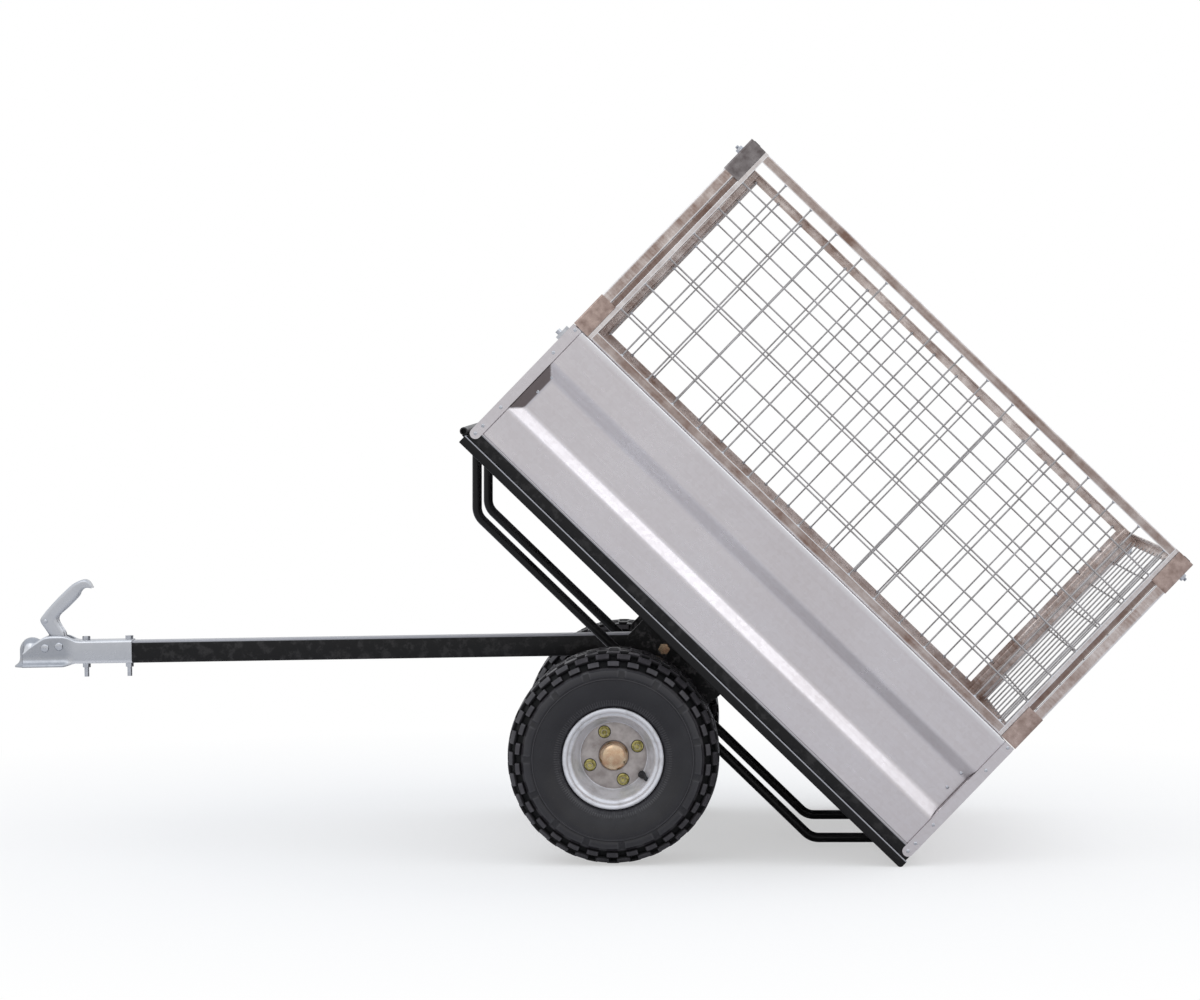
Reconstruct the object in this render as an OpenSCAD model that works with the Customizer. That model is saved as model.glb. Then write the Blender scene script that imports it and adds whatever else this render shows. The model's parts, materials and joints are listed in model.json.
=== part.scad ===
// Tipping utility trailer: a galvanised box with a mesh cage on a black tube underframe.
// The bed is drawn in its own frame (x along the bed from its front end, y across,
// z up from the underside of the side rails) and then tipped back about the wheels.

/* [Bed] */
// Length of the bed frame, front end to rear end
bed_len = 1312; // [1200:1:1500]
// Width over the side rails
bed_w = 1080; // [1040:1:1200]
// Width of the lower rail tube
rail_w = 40; // [30:1:50]
// Height of the lower rail tube
rail_h = 20; // [16:1:30]
// Height of the upper rail tube that carries the floor
upper_h = 26; // [20:1:32]
// Width of the upper rail tube
upper_w = 30; // [24:1:36]
// Wall of the rail tubes
tube_wall = 2.5; // [2:0.5:4]
// Radius on the rear lower corner of the side rails
rail_end_r = 8; // [4:1:9]
// Thickness of the floor sheet
floor_t = 2; // [1.5:0.5:4]
// Angle that the bed is tipped back
tilt = 44; // [30:1:50]

/* [Box sides] */
// Height of the box sides above the floor
side_h = 304; // [280:1:340]
// Thickness of the pressed sheet
sheet_t = 1.5; // [1:0.5:3]
// Depth of the pressed channel
swage_d = 20; // [10:1:24]
// Height of the channel's lower edge above the panel's bottom
swage_lo = 75; // [60:1:90]
// Height of the channel's upper edge above the panel's bottom
swage_hi = 212; // [190:1:230]
// Rise of each sloping face of the channel
swage_rise = 27; // [20:1:34]
// Inward fold along the top and bottom of a panel
hem = 12; // [8:1:20]
// Width of the folded corner posts
post_w = 24; // [20:1:34]

/* [Cage] */
// Height of the cage frames
cage_h = 548; // [450:1:600]
// Leg of the angle that the cage frames are made of
angle_w = 24; // [20:1:30]
// Thickness of that angle
angle_t = 2.5; // [2:0.5:4]
// Diameter of the mesh wire
wire_d = 4; // [2.5:0.5:5]
// Spacing of the mesh wires
wire_pitch = 75; // [60:1:100]
// Width of the corner plates
plate_w = 41; // [36:1:50]
// Height of the corner plates
plate_h = 86; // [60:1:100]

/* [Wheels] */
// Radius of the tyre
wheel_r = 229; // [229:1:229]
// Width of the tyre
tyre_w = 238; // [238:1:238]
// Radius of the rim over its flanges
rim_r = 109; // [106:1:112]
// Radius of the stub axle
stub_r = 15; // [12:0.5:18]
// Height of the side rails' underside above the axle, square to the bed
axle_drop = 260; // [250:1:280]
// Side of the square axle beam
beam = 50; // [40:1:60]
// Wall of the axle beam
beam_wall = 4; // [3:0.5:6]
// Half the length of the axle beam
beam_half = 280; // [260:1:285]

/* [Drawbar] */
// Distance of the drawbar pivot from the front end of the bed
pivot_s = 639; // [600:1:680]
// Depth of the drawbar pivot below the side rails' underside
pivot_drop = 37; // [31:1:40]
// Side of the square drawbar tube
bar = 50; // [40:1:50]
// Wall of the drawbar tube
bar_wall = 3; // [2:0.5:5]
// Downward slope of the drawbar towards its coupler
bar_slope = 0.92; // [0:0.01:3]
// Distance from the pivot to the ball's centre
reach = 1444; // [1300:1:1500]
// Radius of the ball socket
ball_r = 25.5; // [25:0.1:26]

/* [Hidden] */
$fn = 48;
play = 0.05;
sin_t = sin(tilt);
cos_t = cos(tilt);
floor_h = rail_h + upper_h + floor_t;
top_h = floor_h + side_h;
cage_lo = top_h + 2;
cage_top = cage_lo + cage_h;
half_w = bed_w / 2;
// Outer faces of the box sides and of the cage, leaving room for rivet and screw heads
panel_y = half_w - 3.5;
frame_y = half_w - 4.5;
// The rounded rear corners and the tyres stand on the same ground
corner_reach = (wheel_r - rail_end_r + (rail_end_r + axle_drop) * cos_t) / sin_t;
axle_s = bed_len - rail_end_r - corner_reach;
wheel_y = half_w - tyre_w / 2;
// Coupler
socket_z = 7;
lip_r = 39.5;
lip_z = -30.5;
bar_front = -reach + 106;
bolt_at = [-reach + 124, -reach + 222];
bolt_r = 5.5;
bar_back = -65;
// Overall length, for the origin in the middle of it
pivot_x = (pivot_s - axle_s) * cos_t + (axle_drop - pivot_drop) * sin_t;
x_lo = pivot_x - (reach + lip_r) * cos(bar_slope) + lip_z * sin(bar_slope);
x_hi = (bed_len - axle_s) * cos_t + (cage_top + axle_drop) * sin_t;
wheel_x = -(x_lo + x_hi) / 2;
// Truss
truss_r = 10.75;
truss_y = 205;
truss_clear = 9;
truss_h = -110;
truss_bend = 40;
truss_front = 25;
truss_front_low = truss_front - truss_h * tan(tilt);
truss_rear_low = axle_s
    + (wheel_r - truss_r - truss_clear + (truss_h + axle_drop) * cos_t) / sin_t;
truss_rear = truss_rear_low - truss_h / tan(tilt);
// Hanger plates
hanger_t = 8;
hanger_y = 171;
pin_r = 8;
// Tailgate
gate_axis_s = bed_len + 5;
gate_axis_h = floor_h + 2;
gate_half = half_w - 9;
gate_top = top_h - 4;
knuckle_r = 5;
hinge_pitch = 380;
// How far a cutting shape runs past the face it cuts
cut_past = 1;

// ---------- frames of reference ----------

// Bed coordinates into the standing trailer
module on_bed()
    translate([wheel_x, 0, wheel_r])
        rotate([0, tilt, 0])
            translate([-axle_s, 0, axle_drop]) children();

// Drawbar coordinates: origin on the pivot, x running back
module on_drawbar()
    on_bed()
        translate([pivot_s, 0, -pivot_drop])
            rotate([0, -tilt - bar_slope, 0]) children();

// Wheel coordinates: z outward along the axle; side is -1 left, 1 right
module on_wheel(side)
    translate([wheel_x, side * wheel_y, wheel_r])
        rotate([side * -90, 0, 0]) children();

// A shape drawn in the x-z plane, given a width along y from y0 to y1
module across(y0, y1)
    translate([0, y1, 0])
        rotate([90, 0, 0])
            linear_extrude(height = y1 - y0) children();

// The same piece on the left and on the right
module both_sides() {
    children();
    mirror([0, 1, 0]) children();
}

// ---------- underframe ----------

// Side rail: a flat tube with a rounded rear corner, and a narrower tube on it
module side_rail()
    difference() {
        union() {
            across(-half_w, -half_w + rail_w) {
                translate([0, rail_end_r]) square([bed_len, rail_h - rail_end_r]);
                square([bed_len - rail_end_r, rail_h]);
                translate([bed_len - rail_end_r, rail_end_r]) circle(r = rail_end_r);
            }
            translate([3, -panel_y + sheet_t, rail_h - 1])
                cube([bed_len - 6, upper_w, upper_h + 1]);
        }
        translate([-cut_past, -half_w + tube_wall, tube_wall])
            cube([bed_len - rail_end_r, rail_w - 2 * tube_wall, rail_h - 2 * tube_wall]);
        translate([0, -panel_y + sheet_t + tube_wall, rail_h + tube_wall])
            cube([bed_len - rail_end_r, upper_w - 2 * tube_wall, upper_h - 2 * tube_wall]);
    }

module side_rail_left()
    color("#26242a")
        on_bed() side_rail();

module side_rail_right()
    color("#26242a")
        on_bed() mirror([0, 1, 0]) side_rail();

// End rail, its outer face at x = 0, with the same rounded lower corner
upper_half = panel_y - sheet_t - upper_w;
module end_rail()
    difference() {
        union() {
            across(-half_w + rail_w, half_w - rail_w) {
                translate([-rail_w, rail_end_r]) square([rail_w, rail_h - rail_end_r]);
                translate([-rail_w, 0]) square([rail_w - rail_end_r, rail_h]);
                translate([-rail_end_r, rail_end_r]) circle(r = rail_end_r);
            }
            translate([-upper_w - 3, -upper_half, rail_h])
                cube([upper_w, 2 * upper_half, upper_h]);
        }
        translate([-rail_w + tube_wall, -half_w, tube_wall])
            cube([rail_w - rail_end_r, bed_w, rail_h - 2 * tube_wall]);
        translate([-upper_w - 3 + tube_wall, -half_w, rail_h + tube_wall])
            cube([upper_w - 2 * tube_wall, bed_w, upper_h - 2 * tube_wall]);
    }

module end_rails()
    color("#26242a")
        on_bed() {
            mirror([1, 0, 0]) end_rail();
            translate([bed_len, 0, 0]) end_rail();
        }

cross_at = [300, 580, 780, 1010];
cross_w = 40;
module cross_members()
    color("#26242a")
        on_bed()
            for (s = cross_at)
                translate([s - cross_w / 2, -half_w + rail_w, 0])
                    difference() {
                        cube([cross_w, bed_w - 2 * rail_w, rail_h + upper_h]);
                        translate([tube_wall, -cut_past, tube_wall])
                            cube([cross_w - 2 * tube_wall, bed_w,
                                rail_h + upper_h - 2 * tube_wall]);
                    }

module floor_sheet()
    color("#b9b6b4")
        on_bed()
            translate([4, -panel_y + sheet_t, rail_h + upper_h])
                cube([bed_len - 10, 2 * (panel_y - sheet_t), floor_t]);

// ---------- box sides ----------

// Section of a pressed panel: u runs inward from the outer face, v up from the bottom
function panel_outer(h) = [[0, 0], [0, swage_lo], [swage_d, swage_lo + swage_rise],
    [swage_d, swage_hi - swage_rise], [0, swage_hi], [0, h], [hem, h]];
function panel_inner(h) = [[hem, h - sheet_t], [sheet_t, h - sheet_t],
    [sheet_t, swage_hi + 0.6], [swage_d + sheet_t, swage_hi - swage_rise + 0.6],
    [swage_d + sheet_t, swage_lo + swage_rise - 0.6], [sheet_t, swage_lo - 0.6],
    [sheet_t, sheet_t], [hem, sheet_t], [hem, 0]];

module panel_section(h) polygon(concat(panel_outer(h), panel_inner(h)));

// A pressed board from its middle: the channel stops short of both ends, where a wall
// closes it and a flat strip carries on. Its outer face is at x = 0, its inside towards +x.
module end_board(channel_half, half, h) {
    across(-channel_half, channel_half) panel_section(h);
    both_sides() {
        translate([0, -half, 0]) cube([sheet_t, half - channel_half + 0.5, h]);
        across(-channel_half - 0.5, -channel_half + sheet_t)
            polygon([[0, swage_lo], [swage_d, swage_lo + swage_rise],
                [swage_d, swage_hi - swage_rise], [0, swage_hi]]);
    }
}

side_half = bed_len / 2 - 3.5;
side_channel_half = bed_len / 2 - 36;
board_half = panel_y - swage_d - 13;
module side_panel()
    translate([bed_len / 2, -panel_y, floor_h])
        rotate([0, 0, 90]) end_board(side_channel_half, side_half, side_h);

module side_panel_left()
    color("#b8b2b4")
        on_bed() side_panel();

module side_panel_right()
    color("#b8b2b4")
        on_bed() mirror([0, 1, 0]) side_panel();

module front_panel()
    color("#b8b2b4")
        on_bed()
            translate([2, 0, floor_h]) end_board(board_half, panel_y - sheet_t, side_h);

// Corner post: a folded strip with a rounded foot, on the outside of the corner
module post_strip(w, h)
    intersection() {
        square([w, h]);
        union() {
            translate([0, w / 2]) square([w, h]);
            translate([w / 2, w / 2]) circle(r = w / 2);
        }
    }

post_foot = 26;
post_len = top_h - post_foot;
post_back = 32;
module corner_post_front() {
    translate([0.5, 0, post_foot])
        across(-panel_y - sheet_t, -panel_y) post_strip(post_w, post_len);
    translate([0.5, -panel_y - sheet_t, floor_h])
        cube([sheet_t, post_back, side_h]);
}

module corner_posts_front()
    color("#bdb4ae")
        on_bed() both_sides() corner_post_front();

// The rear posts fold inward behind the tailgate
module corner_post_rear() {
    translate([bed_len - post_w - 2, 0, post_foot])
        across(-panel_y - sheet_t, -panel_y) post_strip(post_w, post_len);
    translate([bed_len - 3.5, -panel_y - sheet_t, floor_h])
        cube([sheet_t, post_back, side_h]);
}

module corner_posts_rear()
    color("#bdb4ae")
        on_bed() both_sides() corner_post_rear();

// ---------- cage ----------

// Rectangular frame of angle in the x-z plane, its outer face at y = 0, flange inward (+y)
module angle_frame(l, h)
    difference() {
        cube([l, angle_w, h]);
        translate([angle_t, angle_t, angle_t])
            cube([l - 2 * angle_t, angle_w, h - 2 * angle_t]);
        translate([angle_w, -cut_past, angle_w])
            cube([l - 2 * angle_w, angle_w, h - 2 * angle_w]);
    }

// Welded wires behind that frame: uprights behind the level ones, the level ones a little
// above the middle and the uprights a little ahead of it
wire_rise = 5;
wire_lead = 9;
module wire_mesh(l, h) {
    lap = angle_w - 8;
    level_y = angle_t + wire_d / 2 + play;
    upright_y = level_y + wire_d + play;
    rows = floor((h - 2 * angle_w) / wire_pitch) - 1;
    cols = floor((l - 2 * angle_w) / wire_pitch);
    for (i = [0 : rows])
        translate([lap, level_y, h / 2 + wire_rise + (i - rows / 2) * wire_pitch])
            rotate([0, 90, 0]) cylinder(d = wire_d, h = l - 2 * lap, $fn = 16);
    for (i = [0 : cols])
        translate([l / 2 - wire_lead + (i - cols / 2) * wire_pitch, upright_y, lap])
            cylinder(d = wire_d, h = h - 2 * lap, $fn = 16);
}

side_frame_s = angle_w + 3;
side_frame_len = bed_len - 2 * side_frame_s;
end_frame_len = 2 * frame_y;

// The side frames are set back from the faces of the end frames
side_frame_in = 3;
module at_cage_side()
    translate([side_frame_s, -frame_y + side_frame_in, cage_lo]) children();

module at_cage_front()
    translate([2, frame_y, cage_lo])
        rotate([0, 0, -90]) children();

module at_cage_rear()
    translate([bed_len - 2, -frame_y, cage_lo])
        rotate([0, 0, 90]) children();

module cage_frame_left()
    color("#a8968e")
        on_bed() at_cage_side() angle_frame(side_frame_len, cage_h);

module cage_mesh_left()
    color("#b9b9b9")
        on_bed() at_cage_side() wire_mesh(side_frame_len, cage_h);

module cage_frame_right()
    color("#a8968e")
        on_bed() mirror([0, 1, 0]) at_cage_side() angle_frame(side_frame_len, cage_h);

module cage_mesh_right()
    color("#b9b9b9")
        on_bed() mirror([0, 1, 0]) at_cage_side() wire_mesh(side_frame_len, cage_h);

module cage_frame_front()
    color("#a8968e")
        on_bed() at_cage_front() angle_frame(end_frame_len, cage_h);

module cage_mesh_front()
    color("#b9b9b9")
        on_bed() at_cage_front() wire_mesh(end_frame_len, cage_h);

module cage_frame_rear()
    color("#a8968e")
        on_bed() at_cage_rear() angle_frame(end_frame_len, cage_h);

module cage_mesh_rear()
    color("#b9b9b9")
        on_bed() at_cage_rear() wire_mesh(end_frame_len, cage_h);

// Folded plate round a front left corner
plate_t = 2;
module corner_plate()
    difference() {
        cube([plate_w, plate_w, plate_h]);
        translate([plate_t, plate_t, -cut_past])
            cube([plate_w, plate_w, plate_h + 2 * cut_past]);
    }

module cage_corner_plates()
    color("#8f8885")
        on_bed()
            both_sides()
                for (h = [cage_lo, cage_top - plate_h]) {
                    translate([0, -frame_y - plate_t, h]) corner_plate();
                    translate([bed_len, -frame_y - plate_t, h])
                        mirror([1, 0, 0]) corner_plate();
                }

// Hexagon screws through the end face of each plate
screw_y = frame_y - 18;
module cage_screws()
    color("#cfd2d6")
        on_bed()
            both_sides()
                translate([0, -screw_y, cage_top - 34]) {
                    rotate([0, -90, 0]) cage_screw();
                    translate([bed_len, 0, 0]) rotate([0, 90, 0]) cage_screw();
                }

module cage_screw() {
    cylinder(r = 9, h = 2);
    translate([0, 0, 2]) cylinder(r = 7.5, h = 6, $fn = 6);
    translate([0, 0, 8]) cylinder(r = 4, h = 6);
}

// Spring catches near the top corners of the front and rear boards, fixed to the posts
latch_h = 322;
module board_latches()
    color("#c9ccd1")
        on_bed()
            both_sides()
                translate([0, -panel_y + 13, latch_h]) {
                    translate([-7, -4, -17]) cube([7, 8, 34]);
                    translate([-15, 0, -4]) rotate([0, 90, 0]) cylinder(r = 6, h = 8);
                }

// ---------- running gear under the bed ----------

// Truss: upright front leg, chord along the bed, and a rear leg that lies level on the
// ground when the bed is tipped; both legs are cut off flush under the end rails
front_turn = 90 - tilt;
front_cut = truss_bend * tan(front_turn / 2);
rear_cut = truss_bend * tan(tilt / 2);
leg_spare = 2 * truss_r;
bend_steps = 8;
truss_sides = 24;

// Middle of the tube as [x, z, heading], heading measured up from the chord
truss_path = concat(
    [[truss_front - sin_t * leg_spare, cos_t * leg_spare, -front_turn]],
    [for (i = [0 : bend_steps])
        let (a = front_turn * (i / bend_steps - 1))
        [truss_front_low + front_cut + truss_bend * sin(a),
            truss_h + truss_bend * (1 - cos(a)), a]],
    [for (i = [0 : bend_steps])
        let (a = tilt * i / bend_steps)
        [truss_rear_low - rear_cut + truss_bend * sin(a),
            truss_h + truss_bend * (1 - cos(a)), a]],
    [[truss_rear + cos_t * leg_spare, sin_t * leg_spare, tilt]]);

// Round tube swept along a path in the x-z plane
module swept_tube(path, r, sides) {
    rings = len(path);
    points = [for (p = path, k = [0 : sides - 1])
        let (a = 360 * k / sides)
        [p[0] - r * cos(a) * sin(p[2]), r * sin(a), p[1] + r * cos(a) * cos(p[2])]];
    walls = [for (i = [0 : rings - 2], k = [0 : sides - 1])
        let (n = (k + 1) % sides)
        [i * sides + k, i * sides + n, (i + 1) * sides + n, (i + 1) * sides + k]];
    near_end = [for (k = [sides - 1 : -1 : 0]) k];
    far_end = [for (k = [0 : sides - 1]) (rings - 1) * sides + k];
    polyhedron(points, concat(walls, [near_end, far_end]));
}

module truss_tube()
    difference() {
        swept_tube(truss_path, truss_r, truss_sides);
        translate([-bed_len / 2, -leg_spare, 0]) cube([2 * bed_len, 2 * leg_spare, 100]);
    }

module truss_tube_left()
    color("#1e1c20")
        on_bed() translate([0, -truss_y, 0]) truss_tube();

module truss_tube_right()
    color("#1e1c20")
        on_bed() translate([0, truss_y, 0]) truss_tube();

// Hanger plate: from two cross members down to the axle beam
module hanger_plate()
    across(-hanger_y - hanger_t, -hanger_y)
        difference() {
            polygon([[cross_at[1] - 20, 0], [cross_at[2] + 20, 0], [cross_at[2] + 20, -30],
                [axle_s + 48, -axle_drop - beam / 2 - 8],
                [axle_s - 48, -axle_drop - beam / 2 - 8],
                [cross_at[1] - 20, -pivot_drop - 34]]);
            translate([pivot_s, -pivot_drop]) circle(r = pin_r + play);
            translate([axle_s - beam / 2, -axle_drop - beam / 2]) square(beam);
        }

module hanger_plates()
    color("#26242a")
        on_bed() both_sides() hanger_plate();

module axle_beam()
    color("#26242a")
        on_bed()
            translate([axle_s - beam / 2, -beam_half, -axle_drop - beam / 2])
                difference() {
                    cube([beam, 2 * beam_half, beam]);
                    translate([beam_wall, -cut_past, beam_wall])
                        cube([beam - 2 * beam_wall, 2 * beam_half + 2 * cut_past,
                            beam - 2 * beam_wall]);
                }

// Each stub axle runs past the middle of its wheel, into the hub
stub_past = 34;
module stub_axles()
    color("#8b8b8e")
        on_bed()
            both_sides()
                translate([axle_s, -beam_half, -axle_drop])
                    rotate([90, 0, 0]) {
                        translate([-beam / 2, -beam / 2, 0]) cube([beam, beam, 10]);
                        cylinder(r = stub_r, h = wheel_y - beam_half + stub_past);
                    }

// Rod across the front end that locks the bed down on the drawbar
rod_r = 8.5;
rod_half = half_w - 4;
module tipping_latch_rod()
    color("#3a393d")
        on_bed() {
            translate([-rod_r - 0.5, rod_half, rail_h + 4])
                rotate([90, 0, 0])
                    difference() {
                        cylinder(r = rod_r, h = 2 * rod_half);
                        translate([0, 0, -cut_past]) cylinder(r = 5.5, h = 30);
                        translate([0, 0, 2 * rod_half - 29]) cylinder(r = 5.5, h = 30);
                    }
            for (y = [-420, -140, 140, 420])
                translate([-rod_r, y - 12, 8]) cube([rod_r, 24, rail_h - 8]);
        }

// ---------- tailgate ----------

module tailgate()
    color("#b8b2b4")
        on_bed()
            translate([bed_len, 0, gate_axis_h])
                mirror([1, 0, 0]) end_board(board_half, gate_half, gate_top - gate_axis_h);

// Knuckles that turn with the gate, and the eyes on the rear rail between them
module knuckle(y0, len)
    translate([gate_axis_s, y0 + len, gate_axis_h - 3])
        rotate([90, 0, 0]) cylinder(r = knuckle_r, h = len);

module tailgate_hinges()
    color("#9c9894")
        on_bed()
            for (y = [-hinge_pitch, 0, hinge_pitch]) {
                knuckle(y + 1, 30);
                translate([bed_len, y + 1, gate_axis_h - 3]) cube([2, 30, 46]);
            }

module hinge_eyes()
    color("#26242a")
        on_bed()
            for (y = [-hinge_pitch, 0, hinge_pitch]) {
                knuckle(y - 31, 30);
                translate([bed_len, y - 31, rail_end_r]) cube([2.5, 30, gate_axis_h - 3 - rail_end_r]);
            }

// ---------- drawbar ----------

module drawbar_tube()
    color("#26242a")
        on_drawbar()
            translate([bar_front, -bar / 2, -bar / 2])
                difference() {
                    cube([bar_back - bar_front, bar, bar]);
                    translate([-cut_past, bar_wall, bar_wall])
                        cube([bar_back - bar_front, bar - 2 * bar_wall, bar - 2 * bar_wall]);
                    for (x = bolt_at)
                        translate([x - bar_front, bar / 2, -cut_past])
                            cylinder(r = bolt_r + 0.5, h = bar + 2 * cut_past);
                }

// Cross tube at the back of the drawbar, between the hanger plates
cross_half = 160;
module drawbar_crossbar()
    color("#26242a")
        on_drawbar()
            translate([bar_back, -cross_half, -bar / 2])
                difference() {
                    cube([bar, 2 * cross_half, bar]);
                    translate([bar_wall, -cut_past, bar_wall])
                        cube([bar - 2 * bar_wall, 2 * cross_half + 2, bar - 2 * bar_wall]);
                }

// Lug on each end of the cross tube, bored for the pivot bolt
lug_t = 9;
module drawbar_lugs()
    color("#26242a")
        on_drawbar()
            both_sides()
                across(-cross_half - lug_t, -cross_half)
                    difference() {
                        union() {
                            translate([bar_back, -bar / 2]) square([-bar_back, bar]);
                            circle(r = bar / 2);
                        }
                        circle(r = pin_r + play);
                    }

module pivot_bolts()
    color("#b9a45c")
        on_drawbar()
            both_sides()
                translate([0, -cross_half + 9, 0])
                    rotate([90, 0, 0]) {
                        cylinder(r = 11, h = 8, $fn = 6);
                        cylinder(r = pin_r, h = 30);
                        translate([0, 0, hanger_y + hanger_t - cross_half + 9])
                            cylinder(r = 13, h = 9, $fn = 6);
                    }

// ---------- coupler, measured from the ball's centre line ----------

hood_half = 29;
hood_wall = 3.5;
channel_wall = 4;
hood_outer = [[-18, lip_z], [-18, -14], [12, 20], [32, 31], [69, 35.5], [89, 35],
    [104, 28], [104, lip_z]];
hood_inner = [[-12, lip_z - 1], [-12, -12], [15, 17], [34, 27.5], [68, 32], [88, 31.5],
    [101, 25], [105, 25], [105, lip_z - 1]];
handle_pivot = [66, 15];
clamp_rivet = [34, 12];
rivet_r = 9.5;
rivet_pin = 5;

module ball_frame()
    on_drawbar() translate([-reach, 0, 0]) children();

// Rounded edge sheet under the hood, with the open underside
module coupler_lip()
    translate([0, 0, lip_z])
        linear_extrude(height = 3.5)
            difference() {
                union() {
                    circle(r = lip_r);
                    translate([0, -36]) square([104, 72]);
                }
                circle(r = ball_r);
                translate([0, -25]) square([110, 50]);
            }

module coupler_shell()
    difference() {
        union() {
            difference() {
                across(-hood_half, hood_half) polygon(hood_outer);
                across(-hood_half + hood_wall, hood_half - hood_wall) polygon(hood_inner);
                translate([30, -17, 20]) cube([80, 34, 30]);
            }
            translate([0, 0, socket_z]) sphere(r = hood_half);
            translate([0, 0, lip_z]) cylinder(r = hood_half, h = socket_z - lip_z);
        }
        translate([0, 0, socket_z]) sphere(r = ball_r);
        translate([0, 0, lip_z - cut_past]) cylinder(r = ball_r, h = socket_z - lip_z + cut_past);
    }

module coupler_channel()
    translate([103.5, 0, 0])
        difference() {
            union() {
                translate([0, -hood_half, -27]) cube([128, 2 * hood_half, 55]);
                translate([0, -hood_half - 4, -27]) cube([128, 2 * hood_half + 8, 3]);
            }
            translate([-1, -bar / 2 - play, -28]) cube([130, bar + 2 * play, 53 + play]);
            for (x = bolt_at)
                translate([x + reach - 103.5, 0, 0]) cylinder(r = bolt_r + 0.5, h = 40);
        }

module coupler_body()
    color("#c3c5c9")
        ball_frame() {
            coupler_shell();
            coupler_channel();
            coupler_lip();
            both_sides()
                for (p = [handle_pivot, clamp_rivet])
                    translate([p[0], -hood_half + 1, p[1]])
                        rotate([90, 0, 0]) cylinder(r = rivet_r, h = 4);
            translate([handle_pivot[0], hood_half, handle_pivot[1]])
                rotate([90, 0, 0]) cylinder(r = rivet_pin, h = 2 * hood_half);
        }

module coupler_bolts()
    color("#b5b8bd")
        on_drawbar()
            for (x = bolt_at)
                translate([x, 0, 0]) {
                    translate([0, 0, -56]) cylinder(r = bolt_r, h = 90);
                    translate([0, 0, 28]) cylinder(r = 9, h = 8, $fn = 6);
                    translate([0, 0, -35]) cylinder(r = 9, h = 9.8, $fn = 6);
                }

// Handle: a pressed channel, cranked above its pivot and hooked at the tip
handle_edge = [[53, 12], [42, 39], [32, 55], [21, 72], [26, 84], [56, 118], [91, 151],
    [109, 162], [124, 166], [135, 159], [141, 146], [130, 147], [117, 143], [110, 128],
    [93, 109], [74, 95], [64, 85], [61, 76], [67, 61], [78, 44], [79, 12]];
module handle_side() {
    polygon(handle_edge);
    translate(handle_pivot) circle(r = 13);
}

// Inside of the channel, open along the back and at the pivot
handle_pocket = [[57, 0], [57, 13], [46, 40.5], [36, 56.5], [25.5, 72.5], [29.5, 82],
    [59, 115.5], [93.5, 148], [110.5, 158.5], [124, 162.5], [132, 157], [138, 144],
    [150, 144], [150, 0]];

module coupler_handle()
    color("#b5b8bd")
        ball_frame()
            difference() {
                across(-15, 15) handle_side();
                across(-12, 12) polygon(handle_pocket);
                translate([handle_pivot[0], 20, handle_pivot[1]])
                    rotate([90, 0, 0]) cylinder(r = rivet_pin + play, h = 40);
            }

// ---------- wheels ----------

// Half sections of the tyre, outside and inside, as [radius, distance from its middle]
tyre_out = [[103, 88], [110, 97], [124, 108], [142, 115.5], [160, 119], [178, 118.5],
    [195, 116], [208, 109], [218, 98], [226, 82], [229, 58]];
tyre_in = [[218, 56], [214, 80], [206, 92], [196, 103], [178, 109], [160, 109.5],
    [142, 106], [126, 98], [114, 86], [103, 79]];
function turned_over(side) =
    [for (i = [len(side) - 1 : -1 : 0]) [side[i][0], -side[i][1]]];
module tyre()
    rotate_extrude($fn = 96)
        polygon(concat(tyre_out, turned_over(tyre_out), turned_over(tyre_in), tyre_in));

// Rim: flanges, bead seats and a well, with a flat disc bored for the hub and studs
disc_z = 25;
disc_t = 4;
stud_pcd = 110;
stud_turn = 21.5;
module rim()
    difference() {
        union() {
            rotate_extrude($fn = 96)
                polygon([[rim_r - 2, 95], [rim_r, 97], [rim_r, 99.5], [rim_r - 3, 101],
                    [rim_r - 8, 98], [98.5, 92], [97.5, 66], [84, 56], [84, -56],
                    [97.5, -66], [98.5, -92], [rim_r - 8, -98], [rim_r - 3, -101],
                    [rim_r, -99.5], [rim_r, -97], [rim_r - 2, -95], [101.8, -91],
                    [101, -68], [87, -58], [87, 58], [101, 68], [101.8, 91]]);
            translate([0, 0, disc_z]) cylinder(r = 85, h = disc_t, $fn = 96);
        }
        translate([0, 0, disc_z - cut_past]) cylinder(r = 31, h = disc_t + 2 * cut_past);
        for (a = [stud_turn : 90 : stud_turn + 270])
            rotate([0, 0, a])
                translate([stud_pcd / 2, 0, disc_z - cut_past])
                    cylinder(r = 7, h = disc_t + 2 * cut_past, $fn = 24);
    }

// Hub: a flange behind the disc, studs through it, and a barrel on the stub axle
module hub()
    difference() {
        union() {
            translate([0, 0, -62]) cylinder(r = 34, h = 53 + disc_z);
            translate([0, 0, disc_z - 10]) cylinder(r = 70, h = 9.9);
            translate([0, 0, disc_z - 12]) cylinder(r = 30, h = 22);
            for (a = [stud_turn : 90 : stud_turn + 270])
                rotate([0, 0, a])
                    translate([stud_pcd / 2, 0, disc_z - 1]) cylinder(r = 6, h = 22, $fn = 24);
        }
        translate([0, 0, -63]) cylinder(r = stub_r + play, h = 140);
    }

module hub_cap()
    translate([0, 0, disc_z + 10.2]) {
        difference() {
            intersection() {
                translate([0, 0, -18]) sphere(r = 36);
                cylinder(r = 30, h = 30);
            }
            translate([0, 0, -cut_past]) cylinder(r = stub_r + 1, h = 4);
        }
    }

module tyre_left() color("#2e2c30") on_wheel(-1) tyre();
module tyre_right() color("#2e2c30") on_wheel(1) tyre();
module rim_left() color("#b7b3b2") on_wheel(-1) rim();
module rim_right() color("#b7b3b2") on_wheel(1) rim();
module hub_left() color("#8f877c") on_wheel(-1) hub();
module hub_right() color("#8f877c") on_wheel(1) hub();
module hub_cap_left() color("#cdbdae") on_wheel(-1) hub_cap();
module hub_cap_right() color("#cdbdae") on_wheel(1) hub_cap();

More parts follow.
